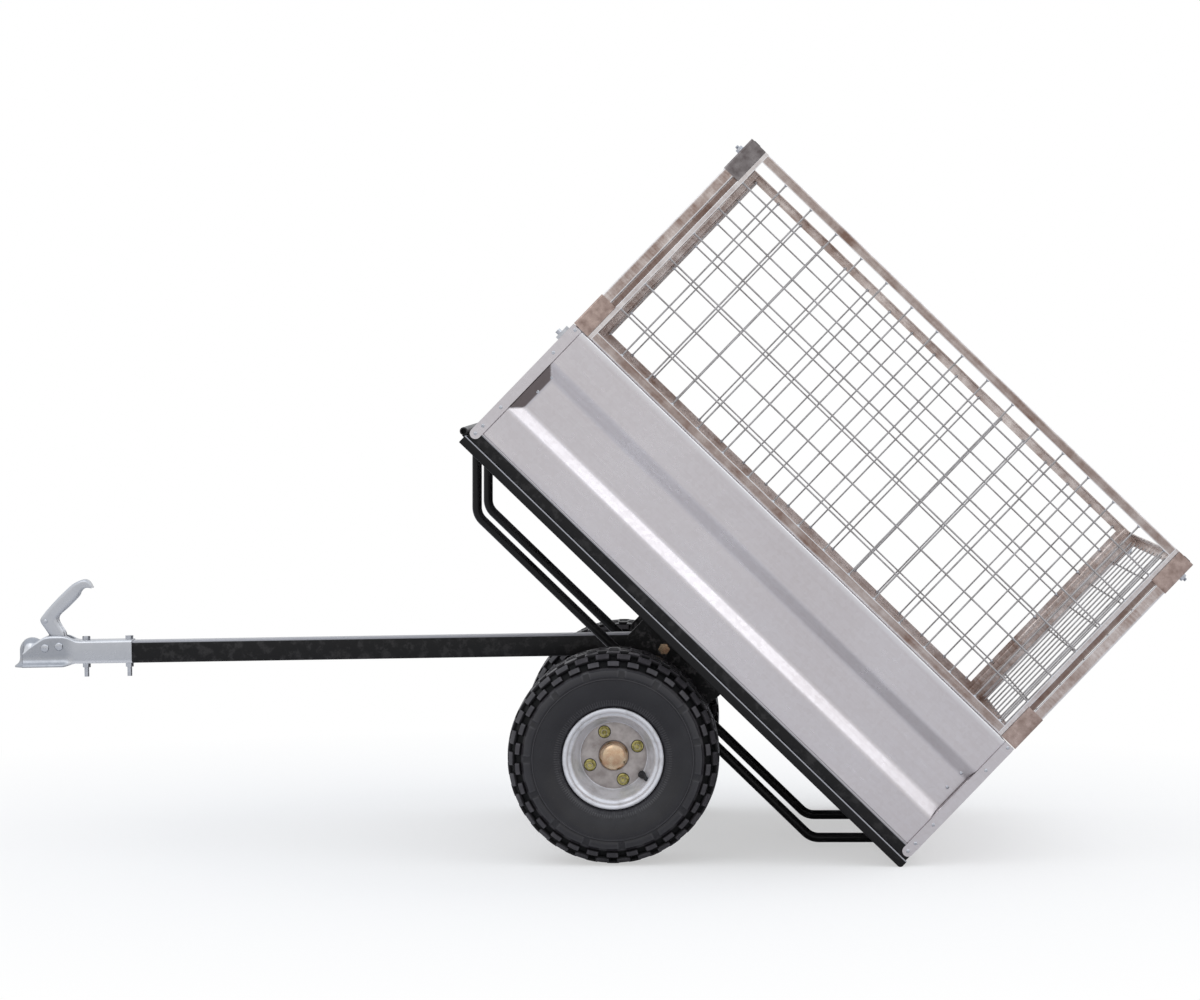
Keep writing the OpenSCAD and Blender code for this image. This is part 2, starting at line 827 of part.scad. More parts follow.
side_rail_left();
side_rail_right();
end_rails();
cross_members();
floor_sheet();
side_panel_left();
side_panel_right();
front_panel();
corner_posts_front();
corner_posts_rear();
cage_frame_left();
cage_mesh_left();
cage_frame_right();
cage_mesh_right();
cage_frame_front();
cage_mesh_front();
cage_frame_rear();
cage_mesh_rear();
cage_corner_plates();
cage_screws();
board_latches();
truss_tube_left();
truss_tube_right();
hanger_plates();
axle_beam();
stub_axles();
tipping_latch_rod();
hinge_eyes();
tailgate();
tailgate_hinges();
drawbar_tube();
drawbar_crossbar();
drawbar_lugs();
pivot_bolts();
coupler_body();
coupler_bolts();
coupler_handle();
tyre_left();
rim_left();
hub_left();
hub_cap_left();
tyre_right();
rim_right();
hub_right();
hub_cap_right();
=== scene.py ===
# %% [markdown]
# # A tipping utility trailer
# The trailer is a galvanised box with a mesh cage on a black tube underframe, tipped back
# until its rear corners stand on the ground. The engineering model gives every position;
# this lesson adds what the eye expects: knobbly tyres, pressed sheet with rounded folds,
# rivets, welds, a pressed ball coupler, and finishes with real wear in them.

# %% load the engineering model
import json
import math

import bpy
import numpy as np
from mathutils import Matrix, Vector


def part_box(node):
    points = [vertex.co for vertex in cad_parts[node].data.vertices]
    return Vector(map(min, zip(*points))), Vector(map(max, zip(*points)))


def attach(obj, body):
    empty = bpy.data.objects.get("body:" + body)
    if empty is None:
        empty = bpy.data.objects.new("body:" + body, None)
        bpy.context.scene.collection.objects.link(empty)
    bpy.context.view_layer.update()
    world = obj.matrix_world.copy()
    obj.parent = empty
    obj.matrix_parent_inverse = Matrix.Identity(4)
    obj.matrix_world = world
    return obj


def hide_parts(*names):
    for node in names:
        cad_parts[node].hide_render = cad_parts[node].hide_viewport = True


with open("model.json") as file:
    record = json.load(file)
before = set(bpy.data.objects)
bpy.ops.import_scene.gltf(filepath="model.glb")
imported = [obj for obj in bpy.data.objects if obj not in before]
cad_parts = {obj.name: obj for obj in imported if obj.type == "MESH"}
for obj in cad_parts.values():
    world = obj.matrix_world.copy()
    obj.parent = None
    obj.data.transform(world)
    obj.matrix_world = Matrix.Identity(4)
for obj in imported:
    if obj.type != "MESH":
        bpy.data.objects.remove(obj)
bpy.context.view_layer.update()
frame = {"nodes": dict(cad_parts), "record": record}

# %% [markdown]
# ## Three frames of reference
# Most of the trailer is easiest to describe lying level: s runs back along the bed, y
# across it and h up from the underside of its rails. The wheels and the drawbar have
# frames of their own. Each frame is one function from its own numbers to the ground's.
# The wheel's centre is read from the model, so the pieces follow it if it moves.

# %% frames of reference
MM = 0.001
TILT = math.radians(44)
AXLE_S, AXLE_DROP = 0.708336, 0.260
BED_LEN, HALF_W = 1.312, 0.540
BAR_ANGLE = math.radians(-0.92)
REACH, PIVOT_S, PIVOT_DROP = 1.444, 0.639, 0.037

rim_low, rim_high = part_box("rim_left")
WHEEL_X, WHEEL_Z = (rim_low.x + rim_high.x) / 2, (rim_low.z + rim_high.z) / 2
WHEEL_Y = -(rim_low.y + rim_high.y) / 2


def on_bed(s, y, h):
    """Turn lengths on the bed, in metres, about the axle by the tilt, and place the axle."""
    s, y, h = np.broadcast_arrays(s, y, h)
    along, up = s - AXLE_S, h + AXLE_DROP
    return np.stack([WHEEL_X + along * math.cos(TILT) + up * math.sin(TILT), y,
                     WHEEL_Z + up * math.cos(TILT) - along * math.sin(TILT)], -1)


PIVOT = on_bed(PIVOT_S, 0.0, -PIVOT_DROP)


def on_bar(x, y, z):
    """Drawbar lengths from the ball's centre line, turned by the bar's slope about its pivot."""
    x, y, z = np.broadcast_arrays(x, y, z)
    x = x - REACH
    return np.stack([PIVOT[0] + x * math.cos(BAR_ANGLE) + z * math.sin(BAR_ANGLE), y,
                     PIVOT[2] - x * math.sin(BAR_ANGLE) + z * math.cos(BAR_ANGLE)], -1)


def on_wheel(side, angle, radius, outward):
    """A point on a wheel: an angle round the axle, a radius, and a distance outward along it."""
    angle, radius, outward = np.broadcast_arrays(angle, radius, outward)
    return np.stack([WHEEL_X + radius * np.cos(angle), side * (WHEEL_Y + outward),
                     WHEEL_Z + radius * np.sin(angle)], -1)


print("wheel centre", round(WHEEL_X, 4), round(WHEEL_Y, 4), round(WHEEL_Z, 4))

# %% [markdown]
# ## From arrays to meshes
# Every new piece is a sheet of points: rows of a profile carried round or along something.
# `woven` numbers the faces of such a sheet, wrapping where it closes on itself, and `Piece`
# gathers several sheets into one mesh. Doubled points are merged, which closes poles and
# seams, and the faces are then turned outwards.

# %% grids and pieces
import bmesh


def woven(rows, cols, wrap_rows=False, wrap_cols=False):
    """Faces of a rows x cols grid: each joins a point, the next row, the next column and back."""
    i, j = np.meshgrid(np.arange(rows - (not wrap_rows)), np.arange(cols - (not wrap_cols)),
                       indexing="ij")
    corner = [((i + a) % rows) * cols + (j + b) % cols for a, b in ((0, 0), (1, 0), (1, 1), (0, 1))]
    return np.stack(corner, -1).reshape(-1, 4)


class Piece:
    """Sheets of points and their faces, gathered until they become one mesh."""

    def __init__(self):
        self.points, self.marks, self.faces, self.count = [], [], [], 0

    def sheet(self, points, wrap_rows=False, wrap_cols=False, caps=False, mark=0.0):
        """Add a grid of points; caps closes a tube's first and last rows with flat faces, and
        mark is a value for each point that the finish may read."""
        rows, cols = points.shape[:2]
        self.faces += (woven(rows, cols, wrap_rows, wrap_cols) + self.count).tolist()
        if caps:
            first = np.arange(cols) + self.count
            self.faces += [first[::-1].tolist(), (first + (rows - 1) * cols).tolist()]
        self.points.append(points.reshape(-1, 3))
        self.marks.append(np.broadcast_to(mark, (rows, cols)).ravel())
        self.count += rows * cols
        return self

    def mesh(self, name, body, slot, stands_for=(), sharp=35, wall=0, core=None):
        """Make the object: merge doubles, turn faces outwards, smooth all but the sharp edges.
        An open sheet faces away from its core point and gets a wall inwards, in metres."""
        data = bpy.data.meshes.new(name)
        data.from_pydata(np.concatenate(self.points).tolist(), [], self.faces)
        marks = data.attributes.new("mark", "FLOAT", "POINT")
        marks.data.foreach_set("value", np.concatenate(self.marks))
        work = bmesh.new()
        work.from_mesh(data)
        bmesh.ops.remove_doubles(work, verts=work.verts, dist=2e-6)
        bmesh.ops.dissolve_degenerate(work, edges=work.edges, dist=1e-6)
        bmesh.ops.recalc_face_normals(work, faces=work.faces)
        if core is not None:
            middle = Vector(core)
            if sum(f.normal.dot(f.calc_center_median() - middle) for f in work.faces) < 0:
                bmesh.ops.reverse_faces(work, faces=work.faces)
        work.to_mesh(data)
        work.free()
        data.shade_smooth()
        data.set_sharp_from_angle(angle=math.radians(sharp))
        thing = bpy.data.objects.new(name, data)
        bpy.context.scene.collection.objects.link(thing)
        thing.data.materials.append(finishes[slot])
        if wall:
            solid = thing.modifiers.new("wall", "SOLIDIFY")
            solid.thickness, solid.offset, solid.use_even_offset = wall, -1, True
        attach(thing, body)
        if stands_for:
            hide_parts(*stands_for)
        print(name, "faces:", len(data.polygons))
        return thing


# %% steps, curves and outlines
def step(x, lo, hi):
    """0 below lo, 1 above hi, and a smooth S between: t squared times (3 - 2t)."""
    t = np.clip((x - lo) / (hi - lo), 0, 1)
    return t * t * (3 - 2 * t)


def between(x, lo, hi, edge):
    """1 inside lo..hi and 0 outside, with a smooth edge of the given width at both ends."""
    return step(x, lo - edge / 2, lo + edge / 2) - step(x, hi - edge / 2, hi + edge / 2)


def curve_through(points, count):
    """Catmull-Rom: each stretch is a cubic through its two ends, and its slope at an end is
    half the step between that end's neighbours."""
    p = np.asarray(points, float)
    p = np.concatenate([2 * p[:1] - p[1:2], p, 2 * p[-1:] - p[-2:-1]])
    t = np.linspace(0, len(p) - 3, count)
    i = np.minimum(t.astype(int), len(p) - 4)
    f = (t - i)[:, None]
    a, b, c, d = p[i], p[i + 1], p[i + 2], p[i + 3]
    return 0.5 * (2 * b + (c - a) * f + (2 * a - 5 * b + 4 * c - d) * f ** 2
                  + (3 * b - a - 3 * c + d) * f ** 3)


def rounded_box(width, height, radius, steps=4):
    """Outline of a rectangle about its centre with quarter circles at its corners."""
    turn = np.linspace(0, math.pi / 2, steps + 1)
    corners = []
    for k, (a, b) in enumerate(((1, 1), (-1, 1), (-1, -1), (1, -1))):
        angle = turn + k * math.pi / 2
        corners.append(np.stack([a * (width / 2 - radius) + radius * np.cos(angle),
                                 b * (height / 2 - radius) + radius * np.sin(angle)], -1))
    return np.concatenate(corners)


def rounded_path(corners, radius, steps=5):
    """An open line whose corners are rounded, each by a quadratic curve tangent to both sides:
    (1 - t) squared of one end, 2t(1 - t) of the corner and t squared of the other end."""
    c = np.asarray(corners, float)
    out = [c[:1]]
    for before, here, after in zip(c[:-2], c[1:-1], c[2:]):
        u, v = before - here, after - here
        u, v = u / np.linalg.norm(u), v / np.linalg.norm(v)
        half = math.acos(float(np.clip(u @ v, -1, 1))) / 2
        reach = min(radius / math.tan(half), 0.45 * np.linalg.norm(before - here),
                    0.45 * np.linalg.norm(after - here))
        t = np.linspace(0, 1, steps + 1)[:, None]
        a, b = here + u * reach, here + v * reach
        out.append((1 - t) ** 2 * a + 2 * t * (1 - t) * here + t ** 2 * b)
    return np.concatenate(out + [c[-1:]])

# %% [markdown]
# ## Finishes as expressions
# A finish is a material made of nodes. `Wire` wraps one socket so that ordinary arithmetic
# writes the Math nodes, and `Nodes.add` makes any other node: settings first, then sockets.
# Patterns read Object coordinates, in metres, so a grain has its real size on every piece.

# %% sockets that do arithmetic
class Wire:
    """A socket that can be added to, scaled and so on; every step is one Math node."""

    def __init__(self, nodes, socket):
        self.nodes, self.socket = nodes, socket

    def _math(self, operation, first, second):
        node = self.nodes.add("ShaderNodeMath", {"operation": operation}, {0: first, 1: second})
        return Wire(self.nodes, node.outputs[0])

    def __add__(self, other): return self._math("ADD", self, other)
    def __radd__(self, other): return self._math("ADD", other, self)
    def __sub__(self, other): return self._math("SUBTRACT", self, other)
    def __rsub__(self, other): return self._math("SUBTRACT", other, self)
    def __mul__(self, other): return self._math("MULTIPLY", self, other)
    def __rmul__(self, other): return self._math("MULTIPLY", other, self)

    def over(self, lo, hi):
        """How far the value is from lo to hi, as 0 to 1 and no further."""
        node = self.nodes.add("ShaderNodeMapRange", {"clamp": True},
                              {"Value": self, "From Min": lo, "From Max": hi})
        return Wire(self.nodes, node.outputs[0])


# %% filling a node tree
class Nodes:
    """A node tree that is being filled."""

    def __init__(self, tree):
        self.tree = tree

    def add(self, kind, settings=None, sockets=None):
        """Make a node, make its settings, then give its sockets values or links."""
        node = self.tree.nodes.new(kind)
        for key, value in (settings or {}).items():
            setattr(node, key, value)
        for key, value in (sockets or {}).items():
            self.feed(node.inputs[key], value)
        return node

    def feed(self, socket, value):
        """Link a wire to a socket, or set the socket's own value."""
        if isinstance(value, Wire):
            self.tree.links.new(value.socket, socket)
        elif isinstance(value, bpy.types.NodeSocket):
            self.tree.links.new(value, socket)
        else:
            socket.default_value = value

    def blend(self, first, second, share):
        """Two colours mixed by a share, which the node keeps within 0 to 1."""
        node = self.add("ShaderNodeMix", {"data_type": "RGBA"},
                        {"Factor": share, 6: first, 7: second})
        return Wire(self, node.outputs[2])


# %% a finish and its patterns
class Finish(Nodes):
    """A Principled material under construction, with the patterns this trailer needs."""

    def __init__(self, name, **constants):
        self.material = bpy.data.materials.new(name)
        self.material.use_nodes = True
        super().__init__(self.material.node_tree)
        self.surface = self.tree.nodes["Principled BSDF"]
        for key, value in constants.items():
            self.surface.inputs[key.replace("_", " ")].default_value = value
        self.place = Wire(self, self.add("ShaderNodeTexCoord").outputs["Object"])

    def stretched(self, scale, turn=0.0):
        """Coordinates turned about y, then scaled by a different amount along each axis."""
        turned = self.add("ShaderNodeMapping", {}, {"Vector": self.place, "Rotation": (0, turn, 0)})
        node = self.add("ShaderNodeVectorMath", {"operation": "MULTIPLY"},
                        {0: turned.outputs[0], 1: scale})
        return Wire(self, node.outputs[0])

    def noise(self, size, detail=3.0, rough=0.55, where=None):
        """Soft noise whose blotches are about size metres across."""
        node = self.add("ShaderNodeTexNoise", {}, {"Vector": where or self.place, "Scale": 1 / size,
                                                   "Detail": detail, "Roughness": rough})
        return Wire(self, node.outputs["Fac"])

    def grains(self, size):
        """A random level for each cell of a Voronoi pattern, as in zinc spangle."""
        node = self.add("ShaderNodeTexVoronoi", {"feature": "F1"},
                        {"Vector": self.place, "Scale": 1 / size})
        grey = self.add("ShaderNodeSeparateColor", {}, {"Color": node.outputs["Color"]})
        return Wire(self, grey.outputs[0])

    def edges(self):
        """How sharply the surface turns: over 0.5 on corners that stand out, less in hollows."""
        return Wire(self, self.add("ShaderNodeNewGeometry").outputs["Pointiness"])

    def marked(self):
        """The value that each point of the mesh carries for its finish; 0 where it has none."""
        node = self.add("ShaderNodeAttribute", {"attribute_name": "mark"})
        return Wire(self, node.outputs["Fac"])

    def bump(self, height, depth):
        """Tilt the normal by a height pattern; depth is its full height in metres."""
        node = self.add("ShaderNodeBump", {},
                        {"Height": height, "Strength": 1.0, "Distance": depth})
        return Wire(self, node.outputs[0])

    def done(self, colour, roughness=None, normal=None):
        """Feed what varies to the surface, and give back the material."""
        for key, value in (("Base Color", colour), ("Roughness", roughness), ("Normal", normal)):
            if value is not None:
                self.feed(self.surface.inputs[key], value)
        return self.material


def shade(red, green, blue):
    """A colour as it is seen, 0 to 255, made linear: with c from 0 to 1, ((c + 0.055) / 1.055)
    to the power 2.4, or c / 12.92 where it is nearly black."""
    return tuple(((c / 255 + 0.055) / 1.055) ** 2.4 if c > 10 else c / 255 / 12.92
                 for c in (red, green, blue)) + (1,)


finishes = {}
print("finish maker ready")

# %% [markdown]
# ## The metals
# Galvanised sheet isn't one grey: zinc crystals catch the light apart from each other, the
# rolling leaves faint lines along the sheet, and handling leaves dull warm patches. The cage
# angle is older and browner. Each finish mixes those three at their real sizes.

# %% zinc finishes
def zinc(name, pale, dull, rough, spangle, lines, cloud, patch, painted_shade=None):
    """Spangle, rolling lines and dull patches over a pale and a dull colour. Where a piece
    carries a mark above zero, the colour goes towards a painted shade; below zero it is painted
    lighter, towards near white: painted highlights on edges and bands, and a paler tone on the
    coupler's handle and rear channel."""
    f = Finish(name, Metallic=1.0)
    patches = f.noise(patch, 4, 0.55)
    crystal = f.grains(spangle)
    rolled = f.noise(0.005, 2, 0.5, f.stretched((0.02, 1, 1), -TILT))
    fine = f.noise(0.0012, 2, 0.6)
    wear = (patches - 0.5) * (cloud * 2.4) + (crystal - 0.5) * 0.16 + (rolled - 0.5) * lines + 0.5
    colour = f.blend(shade(*pale), shade(*dull), wear.over(0.0, 1.0))
    if painted_shade:
        # Painted shade where the mark is above zero; painted lighter, near white, where it is below
        # zero.
        marked = f.marked()
        colour = f.blend(colour, shade(*painted_shade), marked.over(0, 1))
        colour = f.blend(colour, shade(246, 246, 248), (marked * -1).over(0, 1))
    gloss = (patches - 0.5) * (cloud * 0.4) + rolled * 0.06 + crystal * 0.05 + (rough - 0.05)
    height = rolled * lines + fine * 0.5
    return f.done(colour, gloss, f.bump(height, 0.00006))


# Pale and dull colours, roughness, spangle size, strength of lines and of cloud, patch size, colour
# of painted shade
zinc_looks = {
    "galvanised_sheet": ((230, 226, 229), (204, 196, 196), 0.30, 0.008, 0.3, 0.35, 0.3,
                         (96, 82, 78)),
    "galvanised_angle": ((240, 230, 225), (152, 126, 114), 0.28, 0.006, 0.7, 0.8, 0.05,
                         (104, 76, 64)),
    "corner_steel": ((150, 144, 144), (106, 98, 97), 0.32, 0.003, 0.3, 1.0, 0.02),
    "corner_brown": ((204, 182, 172), (150, 128, 119), 0.32, 0.003, 0.3, 1.0, 0.02),
    "mesh_wire": ((196, 193, 193), (140, 135, 132), 0.34, 0.004, 0.0, 0.6, 0.03),
    "zinc_fixings": ((224, 226, 230), (176, 178, 184), 0.24, 0.003, 0.2, 0.5, 0.01),
    "zinc_pressing": ((186, 188, 193), (162, 165, 171), 0.30, 0.004, 0.25, 0.5, 0.03,
                      (110, 110, 114)),
    "axle_steel": ((150, 148, 147), (104, 96, 90), 0.36, 0.004, 0.6, 0.7, 0.02),
}
for name, look in zinc_looks.items():
    finishes[name] = zinc(name, *look)
print(sorted(finishes))

# %% [markdown]
# ## Paint, rubber and coloured plating
# The underframe wears glossy black paint with a slight orange peel and a few bright chips.
# Tyre rubber is painted near black in its grooves as painted shade, with a painted highlight of
# lighter grey on the blocks' edges and fine grit on them, and it is smoother on its sidewall: the
# tyre carries a value that says how far each point stands out, and the finish reads it. On the
# black tubes the same value paints a highlight along the upper edges. Yellow zinc shifts
# from green to gold, and the hub cap has gone from brass towards copper.

# %% paint
f = Finish("black_paint", Specular_IOR_Level=0.3)
dust, fleck = f.noise(0.2, 3, 0.5), f.noise(0.006, 4, 0.7)
worn = f.edges().over(0.56, 0.66) * f.noise(0.02, 4, 0.7).over(0.5, 0.62)
coat = f.blend(shade(7, 6, 7), shade(14, 12, 13), dust.over(0.4, 0.75))
# Painted highlight: the tubes' upper edges, marked below zero, are painted near white.
coat = f.blend(coat, shade(196, 196, 202), (f.marked() * -1).over(0, 1))
coat = f.blend(coat, shade(150, 146, 146), (worn * 0.4 + fleck.over(0.76, 0.80) * 0.5).over(0, 1))
peel = f.noise(0.0025, 2, 0.4)
finishes["black_paint"] = f.done(coat, dust * 0.16 + 0.26, f.bump(peel, 0.00010))

# %% tyre rubber and plastic
f = Finish("tyre_rubber", Specular_IOR_Level=0.15, Coat_Roughness=0.2)
mottle, grit = f.noise(0.04, 5, 0.6), f.noise(0.0016, 3, 0.6)
raised = f.marked()
rubber = f.blend(shade(34, 31, 34), shade(52, 48, 52), mottle.over(0.40, 0.66))
# Painted shade: the grooves, where the rubber stands out least, are painted near black.
rubber = f.blend(shade(7, 7, 8), rubber, raised.over(0.2, 0.9))
rubber = f.blend(rubber, shade(22, 20, 25), raised.over(1.2, 1.8))
# Painted highlight: the blocks' edges are painted lighter grey; fine grit specks on the raised
# rubber are added too.
edge_highlight_and_grit = f.edges().over(0.51, 0.58) * raised.over(0.5, 1.0) * 0.45
edge_highlight_and_grit = edge_highlight_and_grit + grit.over(0.62, 0.75) * raised * 0.08
rubber = f.blend(rubber, shade(112, 110, 114), edge_highlight_and_grit.over(0, 1))
f.feed(f.surface.inputs["Coat Weight"], raised.over(0.3, 2.0) * (mottle * 0.6 + 0.5))
finishes["tyre_rubber"] = f.done(rubber, mottle * 0.2 + grit * 0.12 + 0.4, f.bump(grit, 0.0002))

f = Finish("black_plastic")
speck = f.noise(0.0012, 2, 0.6)
finishes["black_plastic"] = f.done(f.blend(shade(20, 20, 22), shade(40, 40, 43), speck),
                                   speck * 0.2 + 0.4, f.bump(speck, 0.0001))
print(len(finishes), "finishes")

# %% wheel and hub finishes
f = Finish("rim_silver", Metallic=0.4)
soot, flake = f.noise(0.035, 5, 0.65), f.grains(0.0007)
silver = f.blend(shade(230, 230, 234), shade(166, 162, 161), soot.over(0.48, 0.72) * 0.7)
silver = f.blend(silver, shade(238, 238, 242), flake * 0.25)
finishes["rim_silver"] = f.done(silver, soot * 0.15 + 0.28, f.bump(f.noise(0.004, 2), 0.00012))

f = Finish("hub_iron", Metallic=0.8)
bloom, turned_lines = f.noise(0.03, 4, 0.6), f.noise(0.0015, 3, 0.6)
iron = f.blend(shade(192, 184, 180), shade(156, 147, 143), bloom.over(0.36, 0.66))
finishes["hub_iron"] = f.done(iron, bloom * 0.16 + 0.34, f.bump(turned_lines, 0.00012))

f = Finish("yellow_zinc", Metallic=1.0)
film = f.noise(0.008, 4, 0.6)
plate = f.blend(shade(192, 180, 116), shade(128, 120, 70), film.over(0.40, 0.60))
finishes["yellow_zinc"] = f.done(plate, film * 0.2 + 0.2, f.bump(f.noise(0.001, 2), 0.00008))

f = Finish("hub_cap_brass", Metallic=0.9)
film = f.noise(0.022, 4, 0.6)
plate = f.blend(shade(226, 204, 172), shade(200, 160, 128), film.over(0.36, 0.64))
finishes["hub_cap_brass"] = f.done(plate, film * 0.14 + 0.14, f.bump(f.noise(0.0015, 2), 0.00006))

# %% finishes for the model's own parts
slot_of = {part["node"]: part["material_slot"] for part in frame["record"]["subparts"]}
slot_of["pivot_bolts"] = "hub_cap_brass"
for name, thing in frame["nodes"].items():
    thing.data.materials.clear()
    thing.data.materials.append(finishes[slot_of[name]])
print("finished", len(slot_of), "nodes in", len(set(slot_of.values())), "slots")

# %% [markdown]
# ## Tyres
# A knobbly balloon tyre: blocks stand in nine staggered rows over the tread and shoulders,
# and a smooth sidewall carries a thin ring with short moulded panels outside it. Drawing
# each block by hand would be slow, so the tyre is one grid: a smooth section carried round
# the axle, whose points sink along their normal wherever there is a groove.

# %% tyre section
half_section = np.array([(229.0, 0), (229, 30), (228.6, 58), (226, 82), (218, 98), (208, 109),
                         (195, 116), (178, 118.9), (160, 119), (142, 115.5), (124, 108),
                         (111, 97.5), (104, 88)]) * MM
section_line = curve_through(half_section, 900)
step_lengths = np.linalg.norm(np.diff(section_line, axis=0), axis=1)
section_run = np.concatenate([[0], np.cumsum(step_lengths)])
print("tread centre to bead:", round(section_run[-1] * 1000), "mm")

LUGS = 30
STEPS_PER_LUG = 20
GROOVE_DEPTH = ((0, 7.5), (106, 7.5), (110, 6.6), (122, 6), (132, 2.6), (200, 1.5), (215, 0.2))
# Rows of blocks: start and end along the section, share of the pitch filled, shift, height
BLOCK_ROWS = ((0, 15, 0.62, 0.0, 7), (22, 46, 0.58, 0.5, 7), (53, 79, 0.60, 0.0, 7),
              (85, 104, 0.62, 0.5, 7), (111, 124, 0.56, 0.02, 6))
RING_AT = 152.5  # mm along the section, the thin ring on the sidewall
BORE = np.array([(104.5, 80), (104.5, 40), (104.5, 0), (104.5, -40), (104.5, -80)]) * MM


def section_stops():
    """Stations along the half section: a pair on each side of every block edge, and fillers."""
    stops = [0.0]
    for start, end, *_ in BLOCK_ROWS:
        for edge in (start, end):
            stops += [edge - 0.7, edge + 0.7] if edge else []
        stops += [(start + end) / 2]
    stops += [RING_AT + d for d in (-2.4, -1.2, 0, 1.2, 2.4)] + [132, 134, 147, 149.4]
    stops += [140, 161, 168, 176, 184, 192, 199, 201, 207, 209, section_run[-1] * 1000]
    return np.array(sorted(stops)) * MM


# %% blocks, ring and panels
def tread_height(turns, run):
    """Height over the sunken tyre in metres: blocks where both the row and its place round fit."""
    lug, t = turns * LUGS, run / MM
    height = np.zeros(np.broadcast(lug, t).shape)
    for start, end, filled, shift, tall in BLOCK_ROWS:
        low = start if start else -99
        place = np.abs((lug + shift) % 1 - 0.5)
        slot = 1 - step(place, filled / 2 - 0.012, filled / 2 + 0.04)
        height += tall * slot * between(t, low, end, 1.4)
    notch = step(np.abs((lug * 0.5) % 1 - 0.5), 0.07, 0.09)
    height += 1.3 * between(t, 133, 148.2, 1.4) * notch
    height += 1.5 * between(t, RING_AT - 1.8, RING_AT + 1.8, 1.2)
    ribs = ((lug * 5) % 1 < 0.5) * 0.8
    return (height + ribs * between(t, 200, 208, 1.0)) * MM


def tyre_points(side):
    """A point is a station on the section, mirrored for one half and turned round the axle,
    less the section's normal times the depth of the groove there."""
    stops = section_stops()
    run = np.concatenate([stops[::-1], stops[1:]])
    half = np.concatenate([-np.ones(len(stops)), np.ones(len(stops) - 1)])
    radius = np.interp(run, section_run, section_line[:, 0])
    offset = np.interp(run, section_run, section_line[:, 1])
    near = 0.5 * MM
    slope = np.stack([np.interp(run + near, section_run, line)
                      - np.interp(run - near, section_run, line) for line in section_line.T], -1)
    slope /= np.linalg.norm(slope, axis=1)[:, None]
    turns = np.arange(LUGS * STEPS_PER_LUG)[:, None] / (LUGS * STEPS_PER_LUG)
    base = np.interp(run / MM, *zip(*GROOVE_DEPTH)) * MM
    side_shift = np.where(half > 0, 0.0, 0.5 / LUGS)
    sink = base - np.minimum(tread_height(turns + side_shift, run), base)
    r = radius - sink * slope[:, 1]
    z = half * (offset + sink * slope[:, 0])
    r, z = (np.concatenate([a, np.broadcast_to(b, (len(turns), len(BORE)))], 1)
            for a, b in ((r, BORE[:, 0]), (z, BORE[:, 1])))
    raised = 1 - sink / np.maximum(base, 1e-4) + step(run / MM, 126, 131) * 2
    raised = np.concatenate([np.minimum(raised, 2), np.zeros((len(turns), len(BORE)))], 1)
    return on_wheel(side, turns * 2 * math.pi, r, z), raised


# %% make the tyres
for side, name in ((-1, "left"), (1, "right")):
    points, raised = tyre_points(side)
    Piece().sheet(points, True, True, mark=raised).mesh(
        f"tread_tyre_{name}", f"wheel_{name}", "tyre_rubber", [f"tyre_{name}"], sharp=32)

# %% [markdown]
# ## Rims, nuts, caps and valves
# Each rim is rolled in two halves: a curled flange, a stepped bead seat, and a cone down to
# the flat disc where four flanged nuts hold it to the hub. All of them are turned shapes, so
# one function spins a profile; a nut is the same with its radius following a hexagon.

# %% turned parts
def turned(centre, axis, profile, around=32, sides=0):
    """Turn a profile of (radius, height) in millimetres about any axis through a centre. With
    sides, the radius is divided by the cosine of the angle from the middle of the nearest
    flat, up to the profile's third column, which holds the chamfer's circle."""
    axis = np.asarray(axis, float) / np.linalg.norm(axis)
    first = np.cross(axis, (0.0, 1.0, 0.0) if abs(axis[1]) < 0.8 else (0.0, 0.0, 1.0))
    first /= np.linalg.norm(first)
    second = np.cross(axis, first)
    p = np.asarray(profile, float) * MM
    angle = (np.arange(around) / around * 2 * math.pi)[:, None]
    radius = np.broadcast_to(p[:, 0], (around, len(p)))
    if sides:
        pitch = 2 * math.pi / sides
        radius = np.minimum(radius / np.cos((angle + 1e-9) % pitch - pitch / 2), p[:, 2])
    return (np.asarray(centre, float) + radius[..., None] * (np.cos(angle)[..., None] * first
            + np.sin(angle)[..., None] * second) + p[:, 1][None, :, None] * axis)


# %% profiles of the wheel's parts
RIM_PROFILE = [(31, 28.6), (36, 29), (70, 29), (72.6, 29.6), (74.4, 32), (75, 36), (78, 47),
               (82, 56), (84.6, 60.5), (85.8, 64), (88, 78), (89.8, 84), (93, 87.4), (96.4, 88.6),
               (97.6, 90.5), (98.4, 94.5), (100, 98.2), (102.6, 100.4), (105.4, 100.9),
               (107.8, 99.9), (109, 97.8), (108.6, 95.6), (106.6, 94.6), (104.8, 93), (103.6, 89),
               (103, 84), (101, 68), (87, 58), (87, -58), (101, -68), (103, -84), (104.8, -93),
               (108.6, -95.6), (109, -97.8), (107.8, -99.9), (105.4, -100.9), (102.6, -100.4),
               (100, -98.2), (98.4, -94.5), (96, -88), (94, -70), (83.5, -60), (83.5, 20), (80, 24),
               (70, 25), (36, 25), (31, 25.4)]
NUT = [(0, 0, 9), (12, 0, 12.4), (12.4, 1, 12.6), (12, 2.2, 12.4), (8.7, 2.6, 9.9), (8.7, 10, 9.9),
       (8.7, 11.2, 9.5), (8.7, 12, 8.6), (5.6, 12, 5.6), (5.2, 11.4, 5.2), (5.2, 15.6, 5.2),
       (4.6, 16.2, 4.6), (0, 16.3, 0)]
CAP_TURN = np.linspace(0.15, math.pi / 2, 12)
CAP_LIP = [(27, 31), (29.5, 31), (30, 34), (31, 34.4), (31.4, 35.8), (30.9, 37.2), (30.3, 37.6),
           (30.1, 40.4)]
CAP = CAP_LIP + [(30.1 * math.cos(a), 40.4 + 13.5 * math.sin(a)) for a in CAP_TURN]
